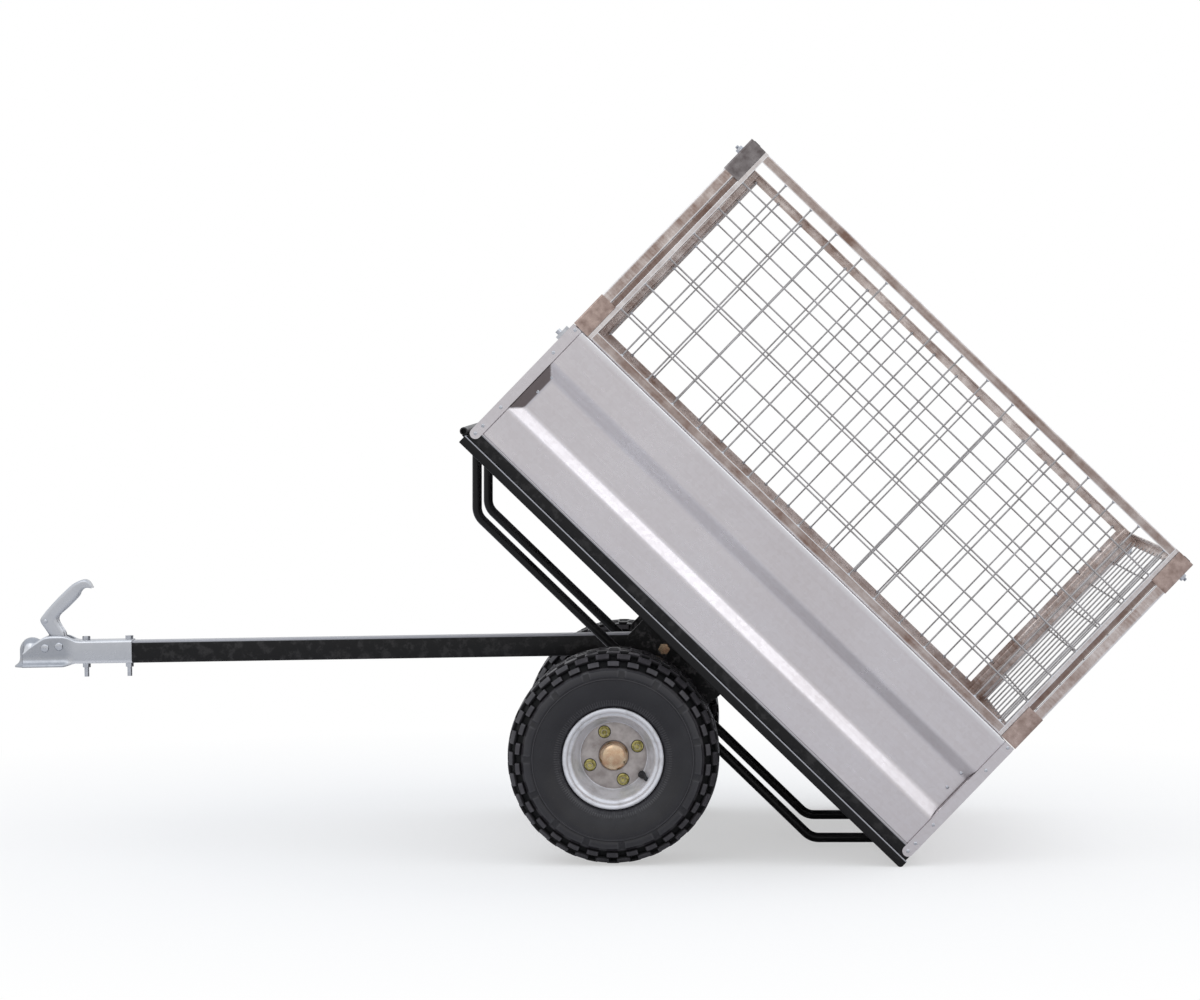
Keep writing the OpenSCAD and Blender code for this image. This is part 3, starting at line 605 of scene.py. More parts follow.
CAP_INSIDE = [(27, 31), (28.4, 36)] + [
    (28.6 * math.cos(a), 40.4 + 12 * math.sin(a)) for a in CAP_TURN]
STUD_CIRCLE = 55.0
NUT_FOOT = 30.4
NUT_ANGLES = np.radians((21.5, 111.5, 201.5, 291.5))
DISC = [(31.2, 29.2), (33, 30.6), (66, 30.6), (70, 30.2), (72.4, 29.2)]
# A thin black ring under each nut's flange: painted shade round the nut's foot.
NUT_SHADE_RING = [(10, 30.3), (13.9, 30.9), (14.1, 30.3)]

# %% make rims, discs, nuts and caps
for side, name in ((-1, "left"), (1, "right")):
    body, middle, out = f"wheel_{name}", on_wheel(side, 0, 0, 0), (0, side, 0)
    Piece().sheet(turned(middle, out, RIM_PROFILE, 144), True, True).mesh(
        f"rolled_rim_{name}", body, "rim_silver", [f"rim_{name}"], sharp=40)
    Piece().sheet(turned(middle, out, DISC, 144), True, True).mesh(
        f"disc_face_{name}", body, "hub_iron")
    # The rings under the nuts are painted shade.
    nuts, shade_rings = Piece(), Piece()
    for angle in -side * NUT_ANGLES:
        at = on_wheel(side, angle, STUD_CIRCLE * MM, 0)
        nuts.sheet(turned(at, out, [(r, z + NUT_FOOT, c) for r, z, c in NUT], 48, 6), True)
        shade_rings.sheet(turned(at, out, NUT_SHADE_RING, 40), True, True)
    nuts.mesh(f"wheel_nuts_{name}", body, "yellow_zinc")
    shade_rings.mesh(f"nut_shade_rings_{name}", body, "black_plastic")
    cap = Piece().sheet(turned(middle, out, CAP, 96), True)
    cap.sheet(turned(middle, out, CAP_INSIDE, 96), True).mesh(
        f"dome_cap_{name}", body, "hub_cap_brass", [f"hub_cap_{name}"], sharp=50)

# %% valve stems
def tube_along(line, radii, across, sides=20):
    """Rings round a line in a plane: each ring lies in the line's normal and the given across."""
    line, across = np.asarray(line, float), np.asarray(across, float)
    heading = np.gradient(line, axis=0)
    heading /= np.linalg.norm(heading, axis=1)[:, None]
    third = np.cross(heading, across)
    angle = np.arange(sides) / sides * 2 * math.pi
    radii = np.broadcast_to(radii, len(line))[:, None, None]
    return line[:, None] + radii * (np.cos(angle)[None, :, None] * across
                                    + np.sin(angle)[None, :, None] * third[:, None])


VALVE_ANGLE = math.radians(-33)
# Distance from the axle, distance outward and radius, in millimetres
VALVE = np.array([(70, 41, 0), (72, 46, 8.5), (75, 52, 7.2), (78, 57, 5.4), (80.5, 61, 4.6),
                  (82.5, 66, 4.4), (83.5, 71, 4.6), (84, 76, 4.6), (84.5, 77.5, 0)]) * MM
across = (-math.sin(VALVE_ANGLE), 0, math.cos(VALVE_ANGLE))
for side, name in ((-1, "left"), (1, "right")):
    line = on_wheel(side, VALVE_ANGLE, VALVE[:, 0], VALVE[:, 1])
    Piece().sheet(tube_along(line, VALVE[:, 2], across), False, True).mesh(
        f"valve_stem_{name}", f"wheel_{name}", "black_plastic")
# %% [markdown]
# ## The box: pressed sheet with rounded folds
# The sides are folded from thin galvanised sheet: a hem top and bottom, and one deep channel
# along the middle for stiffness. A real fold has a radius, and that radius catches the light
# along every edge. So the section is drawn with its bends, given its thickness by moving
# every point along its normal, and carried along the box. The flats are very slightly
# uneven, as thin sheet always is, which breaks up reflections. A value at each point lets
# the finish paint a highlight along the top hem and paint shade at the ends of the channel.

# %% the folded section
PANEL_Y, FLOOR_H, SIDE_H, SHEET = 0.5365, 0.048, 0.304, 0.0015
SWAGE = ((75, 0), (102, 20), (185, 20), (212, 0))
SWAGE_DEPTH, HEM = 20, 12.0


def folded_section(height):
    """Hem, flat, channel, flat, hem: rounded hems, and a channel averaged over 7 mm at its bends.
    Returns each point's inward distance without the channel, its channel depth, and its height."""
    arc = rounded_path([(HEM, 0), (0, 0), (0, 14)], 3.2, 5)
    v = np.arange(15, height - 14, 2.5)
    spread = np.linspace(-3.5, 3.5, 9)
    depth = np.interp(v[:, None] + spread, *zip(*SWAGE)).mean(1)
    low_u, low_v = arc[:, 0], arc[:, 1]
    u = np.concatenate([low_u, 0 * v, low_u[::-1]])
    d = np.concatenate([0 * low_u, depth, 0 * low_u])
    return u, d, np.concatenate([low_v, v, height - low_v[::-1]])


def with_thickness(u, v, thick):
    """Close an open section: go along it, then back, moved along its normal by the thickness."""
    du, dv = np.gradient(u, axis=-1), np.gradient(v, axis=-1)
    size = np.hypot(du, dv)
    back_u, back_v = u + thick * dv / size, v - thick * du / size
    return (np.concatenate([u, back_u[..., ::-1]], -1), np.concatenate([v, back_v[..., ::-1]], -1))


def unevenness(along, up):
    """A few long sine waves multiplied together, a third of a millimetre high at most."""
    return 0.32 * np.sin(along * 0.0113 + 1.3) * np.sin(up * 0.031 + 0.4) + 0.14 * np.sin(
        along * 0.031 + up * 0.012)


def board(stations, height, first, last, ramps=(27.0, 27.0), gaps=(-99, -99)):
    """Inward distance and height at each station along a board. The channel's ends slope like
    its sides: its depth is the lesser of the section's own and a ramp from its first or last.
    A narrow gap shows where a corner strip ends. The third result is painted shade for the
    channel's ends."""
    u, d, v = folded_section(height)
    spread = np.linspace(-2.5, 2.5, 9)[:, None]
    at = stations + spread
    ramp = np.minimum((at - first) / ramps[0], (last - at) / ramps[1])
    cap = np.clip(ramp * SWAGE_DEPTH, 0, SWAGE_DEPTH).mean(0)[:, None]
    rows_u = u + np.minimum(d, cap) + unevenness(stations[:, None], v) * (u == 0)
    to_gap = np.minimum(abs(stations - gaps[0]), abs(stations - gaps[1]))[:, None]
    rows_u = rows_u + 2.4 * np.exp(-(to_gap / 0.7) ** 2)
    # Painted shade: the ends of the channel, where its depth is cut short.
    shadow = step(d - cap, 0.5, 2.0)
    shadow = np.concatenate([shadow, shadow[:, ::-1]], 1)
    rows_u, rows_v = np.broadcast_arrays(np.maximum(rows_u, 0), v)
    return *with_thickness(rows_u, rows_v, SHEET / MM), shadow


# %% side panels
bed_mm = BED_LEN / MM
near_end = np.concatenate([[3.5, 12, 20, 23.6], np.linspace(24.2, 27.2, 7),
                           np.linspace(28.4, 56, 14)])
stations = np.concatenate([near_end, np.linspace(80, bed_mm - 80, 45), bed_mm - near_end[::-1]])
u, v, shadow = board(stations, SIDE_H / MM, 23, bed_mm - 18, (27, 5), (25.4, bed_mm - 26.4))
# Painted shade at the channel's ends, stronger at the front, and a painted highlight along the top
# hem, where the mark goes below zero.
shadow = shadow * np.where(stations < bed_mm / 2, 0.85, 0.6)[:, None] - 0.9 * step(v, 299, 302)
for side, name in ((-1, "left"), (1, "right")):
    points = on_bed(stations[:, None] * MM, side * (PANEL_Y - u * MM), FLOOR_H + v * MM)
    Piece().sheet(points, False, True, True, shadow).mesh(
        f"pressed_side_{name}", "bed", "galvanised_sheet", [f"side_panel_{name}"], sharp=50)

# %% front board and tailgate
edge = PANEL_Y / MM - 2.2
right_half = np.concatenate([np.linspace(10, 455, 22), np.linspace(466, 507, 18), [516, edge]])
across = np.concatenate([-right_half[::-1], right_half])
u, v, _ = board(across, SIDE_H / MM, -501, 501)
points = on_bed((2 + u) * MM, across[:, None] * MM, FLOOR_H + v * MM)
Piece().sheet(points, False, True, caps=True).mesh(
    "pressed_front", "bed", "galvanised_sheet", ["front_panel"], sharp=50)
gate_across = across * 527.0 / edge
u, v, _ = board(gate_across, 298.0, -493, 493)
points = on_bed(BED_LEN - u * MM, gate_across[:, None] * MM, FLOOR_H + 0.002 + v * MM)
Piece().sheet(points, False, True, caps=True).mesh(
    "pressed_tailgate", "tailgate", "galvanised_sheet", ["tailgate"], sharp=50)

# %% [markdown]
# ## Tubes with rounded corners
# The rails, the drawbar and the cross members are square tube, whose corners are rolled to
# a radius. `bar` carries a rounded outline between two stations and eases its end edges.
# The rear ends of the rails are ground round underneath, where the tipped bed stands.

# %% bars
def bar(piece, place, start, end, width, height, radius=3.0, wall=None, ground=0.0):
    """Carry a rounded outline from start to end (mm); place turns (along, a, b) into points.
    ground lifts the underside at the far end along a quarter circle of that radius. The
    upper corners, where light runs along the tube, are marked for a painted highlight."""
    full = rounded_box(width, height, radius)
    eased = rounded_box(width - 1.2, height - 1.2, radius - 0.5)
    rows = [(start, eased), (start + 0.6, full)]
    for turn in np.linspace(0, math.pi / 2, 7) if ground else ():
        lifted = full.copy()
        lifted[:, 1] = np.maximum(lifted[:, 1], -height / 2 + ground * (1 - math.cos(turn)))
        rows.append((end - ground * (1 - math.sin(turn)), lifted))
    rows += [] if ground else [(end - 0.6, full), (end, eased)]
    if wall:
        bore = rounded_box(width - 2 * wall, height - 2 * wall, max(radius - wall, 0.6))
        rows += [(end, bore), (start, bore)]
    points = np.stack([place(at * MM, ring[:, 0] * MM, ring[:, 1] * MM) for at, ring in rows])
    a, b = abs(full[:, 0]), full[:, 1]
    upper = (b > height / 2 - radius * 0.75) & (a > width / 2 - radius * 1.01)
    # Painted highlight: the upper corners carry a mark below zero.
    piece.sheet(points, bool(wall), True, not wall, -0.75 * upper)
    return piece


# %% rails, end tubes, cross members and drawbar
RAIL_Y, LOW_H, UP_H = 0.520, 0.010, 0.033  # centre lines of the lower and upper tubes
for side, name in ((-1, "left"), (1, "right")):
    rail = Piece()
    bar(rail, lambda s, a, b: on_bed(s, side * (RAIL_Y + a), LOW_H + b),
        0, bed_mm, 40, 20, 2.6, ground=8)
    bar(rail, lambda s, a, b: on_bed(s, side * (RAIL_Y + a), UP_H + b),
        3, bed_mm - 3, 30, 26, 2.6)
    rail.mesh(f"rail_tubes_{name}", "bed", "black_paint", [f"side_rail_{name}"])

ends = Piece()
ground_end = rounded_box(40, 20, 2.6)
past = np.clip(ground_end[:, 0] - 12, 0, 8)
ground_end[:, 1] = np.maximum(ground_end[:, 1], -2 - np.sqrt(64 - past ** 2))
y = np.array([-499.6, 499.6])[:, None] * MM
for low, up, outline in ((20, 18, rounded_box(40, 20, 2.6)),
                         (bed_mm - 20, bed_mm - 18, ground_end)):
    ends.sheet(on_bed((low + outline[:, 0]) * MM, y, LOW_H + outline[:, 1] * MM), False, True, True)
    bar(ends, lambda y, a, b: on_bed(up * MM + a, y, UP_H + b), -504.8, 504.8, 30, 26, 2.6)
ends.mesh("end_tubes", "bed", "black_paint", ["end_rails"])

members = Piece()
for s in (300, 580, 780, 1010):
    bar(members, lambda y, a, b: on_bed(s * MM + a, y, 0.023 + b), -499.6, 499.6, 40, 46, 3)
members.mesh("cross_tubes", "bed", "black_paint", ["cross_members"])

bar(Piece(), on_bar, 106, REACH / MM - 65, 50, 50, 5, 3).mesh(
    "square_drawbar", "drawbar", "black_paint", ["drawbar_tube"])

# %% [markdown]
# ## The truss tubes
# A bent round tube stiffens each side of the underframe. A rounded path through its four
# corners gives the bends, and a ring is carried along it.

# %% trusses
TRUSS = [(22, 3), (131.2, -110), (1164.9, -110), (1281.9, 3)]
TRUSS_Y, TRUSS_RADIUS, TRUSS_SIDES = 0.205, 10.7 * MM, 28
TRUSS_LIGHT = math.radians(-98)  # where round the tube its lit upper edge lies
path = rounded_path(TRUSS, 44, 10) * MM
round_it = np.arange(TRUSS_SIDES) / TRUSS_SIDES * 2 * math.pi
# Painted highlight: a mark below zero along the lit upper edge of the truss tube.
lit = -0.7 * (abs((round_it - TRUSS_LIGHT + math.pi) % (2 * math.pi) - math.pi) < 0.3)
for side, name in ((-1, "left"), (1, "right")):
    line = on_bed(path[:, 0], side * TRUSS_Y, path[:, 1])
    tube = tube_along(line, TRUSS_RADIUS, (0, 1, 0), TRUSS_SIDES)
    Piece().sheet(tube, False, True, True, lit).mesh(
        f"bent_truss_{name}", "bed", "black_paint", [f"truss_tube_{name}"])

# %% [markdown]
# ## The ball coupler
# The coupler is one pressing: a dome over the towing ball, a flared lip under it, and a
# channel that wraps the drawbar. A single sheet of points describes it. Each station along
# the bar has its own roof height and its own mix of a front section, which flares out, and
# a rear one, which tucks in. The roof is then lifted over the ball by a smooth maximum, and
# a slot is left out of it for the handle.

# %% coupler pressing
HALF = 29.0
# The section below the walls, across and up: at the front it flares out, at the rear it tucks in
FLARED = [(39.5, -31), (39.6, -28.6), (37.2, -25.2), (33.2, -21.8), (30.2, -17.5), (29, -12),
          (29, -6)]
TUCKED = [(19.5, -24.9), (24, -24.7), (27.3, -23.4), (28.8, -20.6), (29, -16.5), (29, -10),
          (29, -4)]
ROOF = [(-17, -1), (-14, 4), (-8, 10), (0, 16.5), (8, 22), (16, 27), (26, 33.5), (34, 37.6),
        (44, 39.4), (74, 39.4), (84, 37.6), (94, 32.8), (102, 29), (112, 27.8), (231.5, 27.8)]
SLOT_START, SLOT_END, SLOT_HALF = 35.0, 98.0, 17.0
BALL_UP, DRAPE_RADIUS = 7, 28.2  # the ball's centre above the bar's line; the sheet's radius


def coupler_sheet():
    """Stations along x; at each, the blended lower section, an upright wall, a bend and the
    roof. Over the ball the roof is half of z + ball + the root of (z - ball) squared + 9, a
    smooth maximum of the roof's height and a sphere's."""
    x = np.unique(np.concatenate([np.arange(-17, 112, 2.0), [SLOT_START, SLOT_END],
                                  np.arange(112, 231, 9.0), [231.5]]))
    roof = np.interp(x, *zip(*ROOF))
    roof = np.convolve(np.pad(roof, 1, mode="edge"), (0.25, 0.5, 0.25), "valid")
    share = step(x, 74, 104)[:, None]
    blend = share[..., None]
    low = np.array(FLARED) * (1 - blend) + np.array(TUCKED) * blend
    bend = np.minimum(7.0, (roof + 6) / 2)[:, None]
    turn = np.linspace(0, math.pi / 2, 7)
    bend_y, bend_z = HALF - bend * (1 - np.cos(turn)), roof[:, None] - bend * (1 - np.sin(turn))
    flat = np.array([20, SLOT_HALF, 13, 9, 4.5, 0.0])
    flat_y, flat_z = np.broadcast_arrays(flat, roof[:, None])
    y = np.concatenate([low[..., 0], bend_y, flat_y], 1)
    z = np.concatenate([low[..., 1], bend_z, flat_z], 1)
    reach = np.hypot(x[:, None], y)
    ball = BALL_UP + np.sqrt(np.maximum(DRAPE_RADIUS ** 2 - reach ** 2, 0))
    ball = ball - 3 * np.maximum(reach - DRAPE_RADIUS, 0)
    draped = 0.5 * (z + ball + np.sqrt((z - ball) ** 2 + 9))
    column = np.arange(y.shape[1])
    z = np.where(column > 9, draped, z)
    # Marks below zero paint the coupler lighter: a painted highlight along the channel's lower lip
    # and the roof's bends, and a paler tone over the whole rear channel.
    mark = -0.85 * share * ((column > 0) & (column < 4)) - 0.6 * ((column > 8) & (column < 13))
    mark = np.minimum(mark, -0.3 * share)
    mark = np.concatenate([mark, mark[:, -2::-1]], 1)
    y, z = np.concatenate([-y, y[:, -2::-1]], 1), np.concatenate([z, z[:, -2::-1]], 1)
    return np.broadcast_to(x[:, None], y.shape), y, z, mark


# %% cut the slot and make the pressing
x, y, z, mark = coupler_sheet()
pressing = Piece().sheet(on_bar(x * MM, y * MM, z * MM), mark=mark)
flat_faces = np.array(pressing.faces)
at_x, at_y, at_z = (grid.ravel()[flat_faces].mean(1) for grid in (x, y, z))
in_slot = (at_x > SLOT_START) & (at_x < SLOT_END) & (abs(at_y) < SLOT_HALF) & (at_z > 20)
pressing.faces = flat_faces[~in_slot].tolist()
pressing.mesh("pressed_coupler", "drawbar", "zinc_pressing", ["coupler_body"], sharp=45, wall=0.003,
              core=on_bar(0.1, 0.0, 0.0))

# %% ball dome and lip
OUTSIDE, INSIDE = 27.6, 25.6
dome = [(OUTSIDE * math.cos(a), BALL_UP + OUTSIDE * math.sin(a))
        for a in np.linspace(math.pi / 2, 0, 14)]
dome += [(OUTSIDE, -10), (28.2, -16), (30.4, -20.6), (34, -24.2), (37.6, -26.6), (39.4, -28.6),
         (39.5, -30.9), (36.5, -31), (33, -28.6), (28, -25), (25.7, -20), (INSIDE, BALL_UP)]
dome += [(INSIDE * math.cos(a), BALL_UP + INSIDE * math.sin(a))
         for a in np.linspace(0.12, math.pi / 2, 10)]
bar_up = on_bar(0.0, 0.0, 1.0) - on_bar(0.0, 0.0, 0.0)
Piece().sheet(turned(on_bar(0.0, 0.0, 0.0), bar_up, dome, 72), True).mesh(
    "ball_dome", "drawbar", "zinc_pressing", sharp=50)

# %% rivets of the clamp and the handle
clinch = [(0, 3.4), (5.6, 3.4), (7.6, 3.0), (9.0, 2.0), (9.6, 0.6), (9.6, -1), (0, -1)]
rivets = Piece()
for px, pz in ((34, 12), (66, 15)):
    for side in (-1, 1):
        at = on_bar(px * MM, side * HALF * MM, pz * MM)
        rivets.sheet(turned(at, (0, side, 0), clinch), True)
rivets.mesh("coupler_rivets", "drawbar", "zinc_fixings")

# %% [markdown]
# The handle is pressed too: a channel whose web faces forward, cranked at the elbow and
# hooked at its tip. Its front and back outlines are two curves; each row of the sheet runs
# from the back edge, round the web, to the back edge on the other side.

# %% handle
FRONT = [(53, 6), (52, 18), (42, 39), (32, 55), (22, 71), (26, 84), (56, 118), (91, 151),
         (109, 162), (124, 165.5), (135, 159), (141, 147)]
BACK = [(79, 6), (79, 20), (77, 44), (67, 61), (61, 75), (65, 86), (83, 102), (107, 126),
        (113, 137), (119, 143.5), (129, 147), (139.5, 145.5)]
# Share of the way from the back edge to the front, and distance from the middle in millimetres
ACROSS = [(0, 15), (0.25, 15), (0.5, 15), (0.72, 15), (0.86, 14.6), (0.95, 13.2), (1, 10.6),
          (1, 5), (1, 0)]

front, back = curve_through(FRONT, 70), curve_through(BACK, 70)
share, half = np.array(ACROSS).T
share, half = np.concatenate([share, share[-2::-1]]), np.concatenate([-half, half[-2::-1]])
outline = back[:, None] + (front - back)[:, None] * share[None, :, None]
# The mark below zero makes the whole handle a paler tone.
grip = Piece().sheet(on_bar(outline[..., 0] * MM, half * MM, outline[..., 1] * MM), mark=-0.35)
grip.mesh("pressed_handle", "coupler_handle", "zinc_pressing", ["coupler_handle"], sharp=50,
          wall=0.0026, core=on_bar(0.075, 0.0, 0.065))
pin = [(0, 17.2), (3.4, 17.2), (4.6, 16.4), (5, 15.0), (5, -15.0), (4.6, -16.4), (3.4, -17.2),
       (0, -17.2)]
Piece().sheet(turned(on_bar(0.034, 0.0, 0.072), (0, 1, 0), pin), True).mesh(
    "handle_pin", "coupler_handle", "zinc_fixings")

# %% [markdown]
# ## The cage
# The cage is bent from thin galvanised strip. Its four frames are angles, and the side
# frames' uprights have a step pressed in them, so a dark band and a bright one run beside
# each other; marks on the strips also paint shade on the dark band and highlights along the
# bright edges. One function carries a bent strip along any of them: a rounded path, given its
# thickness, between two stations.

# %% cage frames
CAGE_LO, CAGE_TOP = 354.0, 901.96
# Across, deep, and the mark of each corner: a painted highlight where it is below zero, painted
# shade above
ANGLE = rounded_path([(24, 0, -0.9), (22.6, 0, -0.8), (22, 0, 0), (5, 0, 0.1), (0, 0, -1),
                      (0, 5, 0.1), (0, 22, 0), (0, 22.6, -0.8), (0, 24, -0.9)], 2.6, 4)
NARROW = rounded_path([(21, 0.4, -0.9), (19.6, 0.4, -0.8), (19, 0.4, 0.32), (5, 0.4, 0.38),
                       (0, 0.4, -1), (0, 5, 0), (0, 24, 0)], 2.4, 4)
STEPPED = rounded_path([(24, 0, -0.9), (22.6, 0, -0.8), (22, 0, -0.35), (15.4, 0, -0.45),
                        (13.2, 0, -1), (12.4, 6.5, 0.5), (11, 6.5, 0.7), (3, 6.5, 0.7),
                        (0, 6.5, -1), (0, 12, 0), (0, 24, 0)], 1.6, 3)
FRAME_END, FRAME_Y = 27, 532.5  # a side frame's first station, and its outer face


def strip(place, start, end, path, thick=2.5):
    """Carry a bent strip from start to end: across its width u and depth w, both in millimetres."""
    u, w = with_thickness(path[:, 0], path[:, 1], thick)
    along = np.array([start, end])[:, None]
    return place(along, u, w), np.tile(np.concatenate([path[:, 2], 0 * path[:, 2]]), (2, 1))


# %% make the cage frames
def bent_frame(name, low, high, place, upright):
    """Two uprights and two narrow rails; place turns length along, depth and height to points."""
    piece = Piece()
    for end, inward in ((low, 1), (high, -1)):
        # The strips' marks paint highlights along their bright edges and shade on the stepped band.
        points, mark = strip(lambda h, u, w: place(end + inward * u, w, h),
                             CAGE_LO, CAGE_TOP, upright)
        piece.sheet(points, False, True, True, mark)
    for end, inward in ((CAGE_LO, 1), (CAGE_TOP, -1)):
        points, mark = strip(lambda a, u, w: place(a, w, end + inward * u),
                             low + 2.6, high - 2.6, NARROW)
        piece.sheet(points, False, True, True, mark)
    piece.mesh(f"bent_frame_{name}", "bed", "galvanised_angle", [f"cage_frame_{name}"], sharp=50)


for side, name in ((-1, "left"), (1, "right")):
    bent_frame(name, FRAME_END, bed_mm - FRAME_END,
               lambda a, w, h: on_bed(a * MM, side * (FRAME_Y - w) * MM, h * MM), STEPPED)
for face, inward, name in ((2, 1, "front"), (bed_mm - 2, -1, "rear")):
    bent_frame(name, -535.5, 535.5,
               lambda a, w, h: on_bed((face + inward * w) * MM, a * MM, h * MM), ANGLE)

# %% corner plates
BEND = rounded_path([(41, 0, 0), (0, 0, 0), (0, 41, 0)], 4.5, 6)
PLATE_H, PLATE_Y = 86, 537.5
upper, lower = Piece(), Piece()
for side in (-1, 1):
    for end, inward in ((0, 1), (bed_mm, -1)):
        for piece, foot in ((lower, CAGE_LO), (upper if end == 0 else lower, CAGE_TOP - PLATE_H)):
            points, _ = strip(
                lambda h, u, w: on_bed((end + inward * w) * MM, side * (PLATE_Y - u) * MM, h * MM),
                foot, foot + PLATE_H, BEND, 2.0)
            piece.sheet(points, False, True, caps=True)
upper.mesh("corner_plates_dark", "bed", "corner_steel", ["cage_corner_plates"], sharp=50)
lower.mesh("corner_plates_brown", "bed", "corner_brown", sharp=50)

# %% [markdown]
# ## Wires, welds and rivets
# A weld pushes a little bead of zinc out where two wires cross or where a wire meets its
# frame. Each bead is a tiny sphere made flat, with few faces since there are hundreds.

# %% weld beads
WIRE_PITCH = 75.0
# Where a weld is: distance in from the frame's face, bead's radius, and how flat it is
CROSSING, AT_UPRIGHT, AT_RAIL = (6.2, 2.9, 0.75), (4, 4.4, 0.8), (6, 4.4, 0.8)


def add_bead(side, s, h, kind):
    """A sphere of a few faces: its radius times the sine and cosine of the angle from its
    pole, and flattened across the bed."""
    inward, size, squash = kind
    profile = [(size * math.sin(t), size * squash * math.cos(t))
               for t in np.linspace(0, math.pi, 5)]
    at = on_bed(s * MM, side * (FRAME_Y - inward) * MM, h * MM)
    beads.sheet(turned(at, (0, 1, 0), profile, 8), True)


def wire_stations(length, shift, fewer=0):
    """Positions of wires a pitch apart about the middle, shifted; as many as fit, or fewer."""
    count = math.floor((length - 48) / WIRE_PITCH) - fewer
    return length / 2 + shift + (np.arange(count + 1) - count / 2) * WIRE_PITCH


levels = CAGE_LO + wire_stations(CAGE_TOP - CAGE_LO, 5, 1)
uprights = FRAME_END + wire_stations(bed_mm - 2 * FRAME_END, -9)
beads = Piece()
for side in (-1, 1):
    for h in levels:
        for s in uprights:
            add_bead(side, s, h, CROSSING)
        for s in (FRAME_END + 22, bed_mm - FRAME_END - 22):
            add_bead(side, s, h, AT_UPRIGHT)
    for s in uprights:
        for h in (CAGE_LO + 20, CAGE_TOP - 20):
            add_bead(side, s, h, AT_RAIL)
beads.mesh("weld_beads", "bed", "zinc_fixings", sharp=80)

# %% rivets
RIVET = [(0, 0.2), (1.1, 0.2), (1.4, 1.5), (2.4, 1.45), (3.5, 0.9), (4.0, 0.1), (4.0, -1.0),
         (0, -1.0)]
IN_STRIPS = [(s, 538.0, h) for h in (38, 61, 116, 278, 345) for s in (12.5, bed_mm - 14)]
IN_CHANNEL = [(46, 519.9, 194), (46, 519.9, 237), (bed_mm - 46, 516.9, 194),
              (bed_mm - 46, 519.9, 237)]
heads = Piece()
for side in (-1, 1):
    for s, y, h in IN_STRIPS + IN_CHANNEL:
        at = on_bed(s * MM, side * y * MM, h * MM)
        heads.sheet(turned(at, (0, side, 0), RIVET, 20), True)
heads.mesh("strip_rivets", "bed", "zinc_fixings", sharp=50)

# %% clamp screws at the top corners
bed_along = on_bed(1.0, 0.0, 0.0) - on_bed(0.0, 0.0, 0.0)
WASHER = [(0, 0), (9, 0), (9.3, 0.5), (9, 1.9), (0, 1.9)]
HEAD = [(0, 1.9, 0), (7.4, 1.9, 8.4), (7.4, 6.6, 8.4), (7.2, 7.6, 7.9), (4.4, 7.8, 4.4),
        (0, 7.8, 0)]
THREAD = [(0, 7)] + [(r, 7 + 0.5 * k) for k, r in enumerate((4.1, 3.5) * 6)]
THREAD += [(3.4, 13.6), (0, 13.8)]
screws = Piece()
for side in (-1, 1):
    for s, sign in ((0.0, -1), (BED_LEN, 1)):
        at = on_bed(s, side * 0.5175, (CAGE_TOP - 34) * MM)
        for profile, sides in ((WASHER, 0), (HEAD, 6), (THREAD, 0)):
            screws.sheet(turned(at, sign * bed_along, profile, 36, sides), True)
screws.mesh("clamp_screws", "bed", "zinc_fixings", ["cage_screws"], sharp=40)

# %% end plugs
plugs = Piece()
for side in (-1, 1):
    for s in (16, bed_mm - 18):
        bar(plugs, lambda a, b, c: on_bed(s * MM + b, side * (0.526 + c), a),
            CAGE_TOP - 3, CAGE_TOP + 1.4, 17, 17, 2.0)
plugs.mesh("end_plugs", "bed", "black_plastic")

# %% [markdown]
# ## The floor, the light and the camera
# The trailer stands on a plain pale floor in soft, even light: a bright world all round and
# two broad lamps above. The floor keeps the shadow close to the wheels and fades to the plain
# background further out. The camera sees plain white behind the trailer, while metal sees a
# room that is a little darker near the ground, which gives the folds their shading.

# %% floor
REACH_OF_FLOOR = 14.0
corners = np.array([(-1, -1, 0), (1, -1, 0), (1, 1, 0), (-1, 1, 0)]) * REACH_OF_FLOOR
floor_mesh = bpy.data.meshes.new("floor")
floor_mesh.from_pydata(corners.tolist(), [], [(0, 1, 2, 3)])
floor = bpy.data.objects.new("floor", floor_mesh)
bpy.context.scene.collection.objects.link(floor)
f = Finish("pale_floor", Roughness=0.9, Specular_IOR_Level=0.1)
far = f.add("ShaderNodeVectorMath", {"operation": "LENGTH"}, {0: f.stretched((1.0, 1.0, 0))})
away = Wire(f, far.outputs["Value"]).over(0.9, 2.4)
seen = Wire(f, f.add("ShaderNodeLightPath").outputs["Is Camera Ray"])
glow = f.add("ShaderNodeEmission", {}, {"Color": (1, 1, 1, 1), "Strength": 1.0})
speckle = f.noise(0.01, 3)
floor_mix = f.add("ShaderNodeMixShader", {}, {0: (away * 0.5 + 0.5) * seen,
                                              1: f.surface.outputs[0], 2: glow.outputs[0]})
f.tree.links.new(floor_mix.outputs[0], f.tree.nodes["Material Output"].inputs["Surface"])
paving = f.blend(shade(250, 250, 250), shade(246, 246, 246), speckle)
floor_mesh.materials.append(f.done(f.blend(shade(216, 216, 218), paving, seen)))

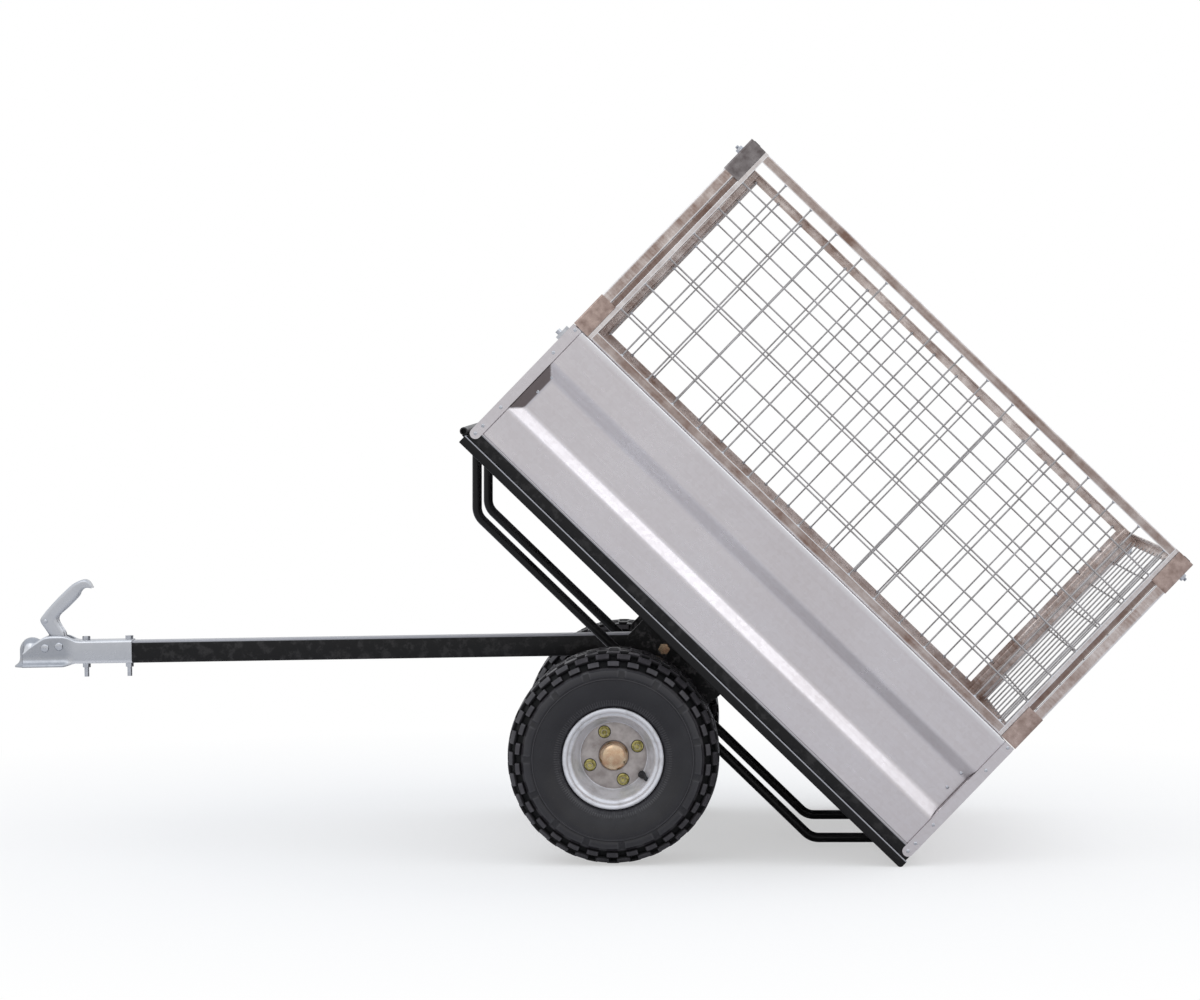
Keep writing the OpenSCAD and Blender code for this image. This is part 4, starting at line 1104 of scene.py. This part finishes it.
# %% world
world = bpy.data.worlds.new("white_room")
world.use_nodes = True
bpy.context.scene.world = world
room = Nodes(world.node_tree)
rays = room.add("ShaderNodeLightPath")
direct = room.add("ShaderNodeMath", {"operation": "MAXIMUM"},
                  {0: rays.outputs["Is Camera Ray"], 1: rays.outputs["Is Transmission Ray"]})
direct = Wire(room, direct.outputs[0])
looking = room.add("ShaderNodeTexCoord")
way = room.add("ShaderNodeSeparateXYZ", {}, {0: looking.outputs["Generated"]})
up = Wire(room, way.outputs["Z"])
strength = up.over(-0.1, 0.55) * 0.18 + 0.74
background = room.tree.nodes["Background"]
room.feed(background.inputs["Strength"], strength * (1 - direct) + direct)
room.feed(background.inputs["Color"],
          room.blend((1, 1, 1, 1), (0.94, 0.985, 1.05, 1), up.over(0, 0.7) - direct))


# %% lamps
def soft_lamp(name, place, aim, size, power):
    """A broad square lamp at place, turned so that it faces the point aim."""
    lamp = bpy.data.lights.new(name, "AREA")
    lamp.shape, lamp.size, lamp.energy = "SQUARE", size, power
    holder = bpy.data.objects.new(name, lamp)
    bpy.context.scene.collection.objects.link(holder)
    holder.location = place
    direction = Vector(aim) - Vector(place)
    holder.rotation_euler = direction.to_track_quat("-Z", "Y").to_euler()
    print(name, "at", place)


soft_lamp("key_lamp", (-2.2, -4.2, 5.2), (0.1, 0, 0.6), 4.0, 32)
soft_lamp("fill_lamp", (3.8, -1.9, 4.3), (0.3, 0, 0.7), 3.0, 20)

# %% camera
DISTANCE = 8.0  # from the trailer's near side
VIEW_WIDTH = 2.5644  # metres across the view at that distance
camera_data = bpy.data.cameras.new("camera")
camera_data.sensor_width = 36
camera_data.lens = camera_data.sensor_width * DISTANCE / VIEW_WIDTH
camera_data.shift_x, camera_data.shift_y = -0.0958, -0.125
camera = bpy.data.objects.new("camera", camera_data)
bpy.context.scene.collection.objects.link(camera)
camera.location = (WHEEL_X + 0.2186, -HALF_W - DISTANCE, 1.105)
camera.rotation_euler = (math.pi / 2, 0, 0)
bpy.context.scene.camera = camera
bpy.context.scene.view_settings.view_transform = "Standard"
print("camera", round(camera_data.lens), "mm lens,", DISTANCE, "m away")
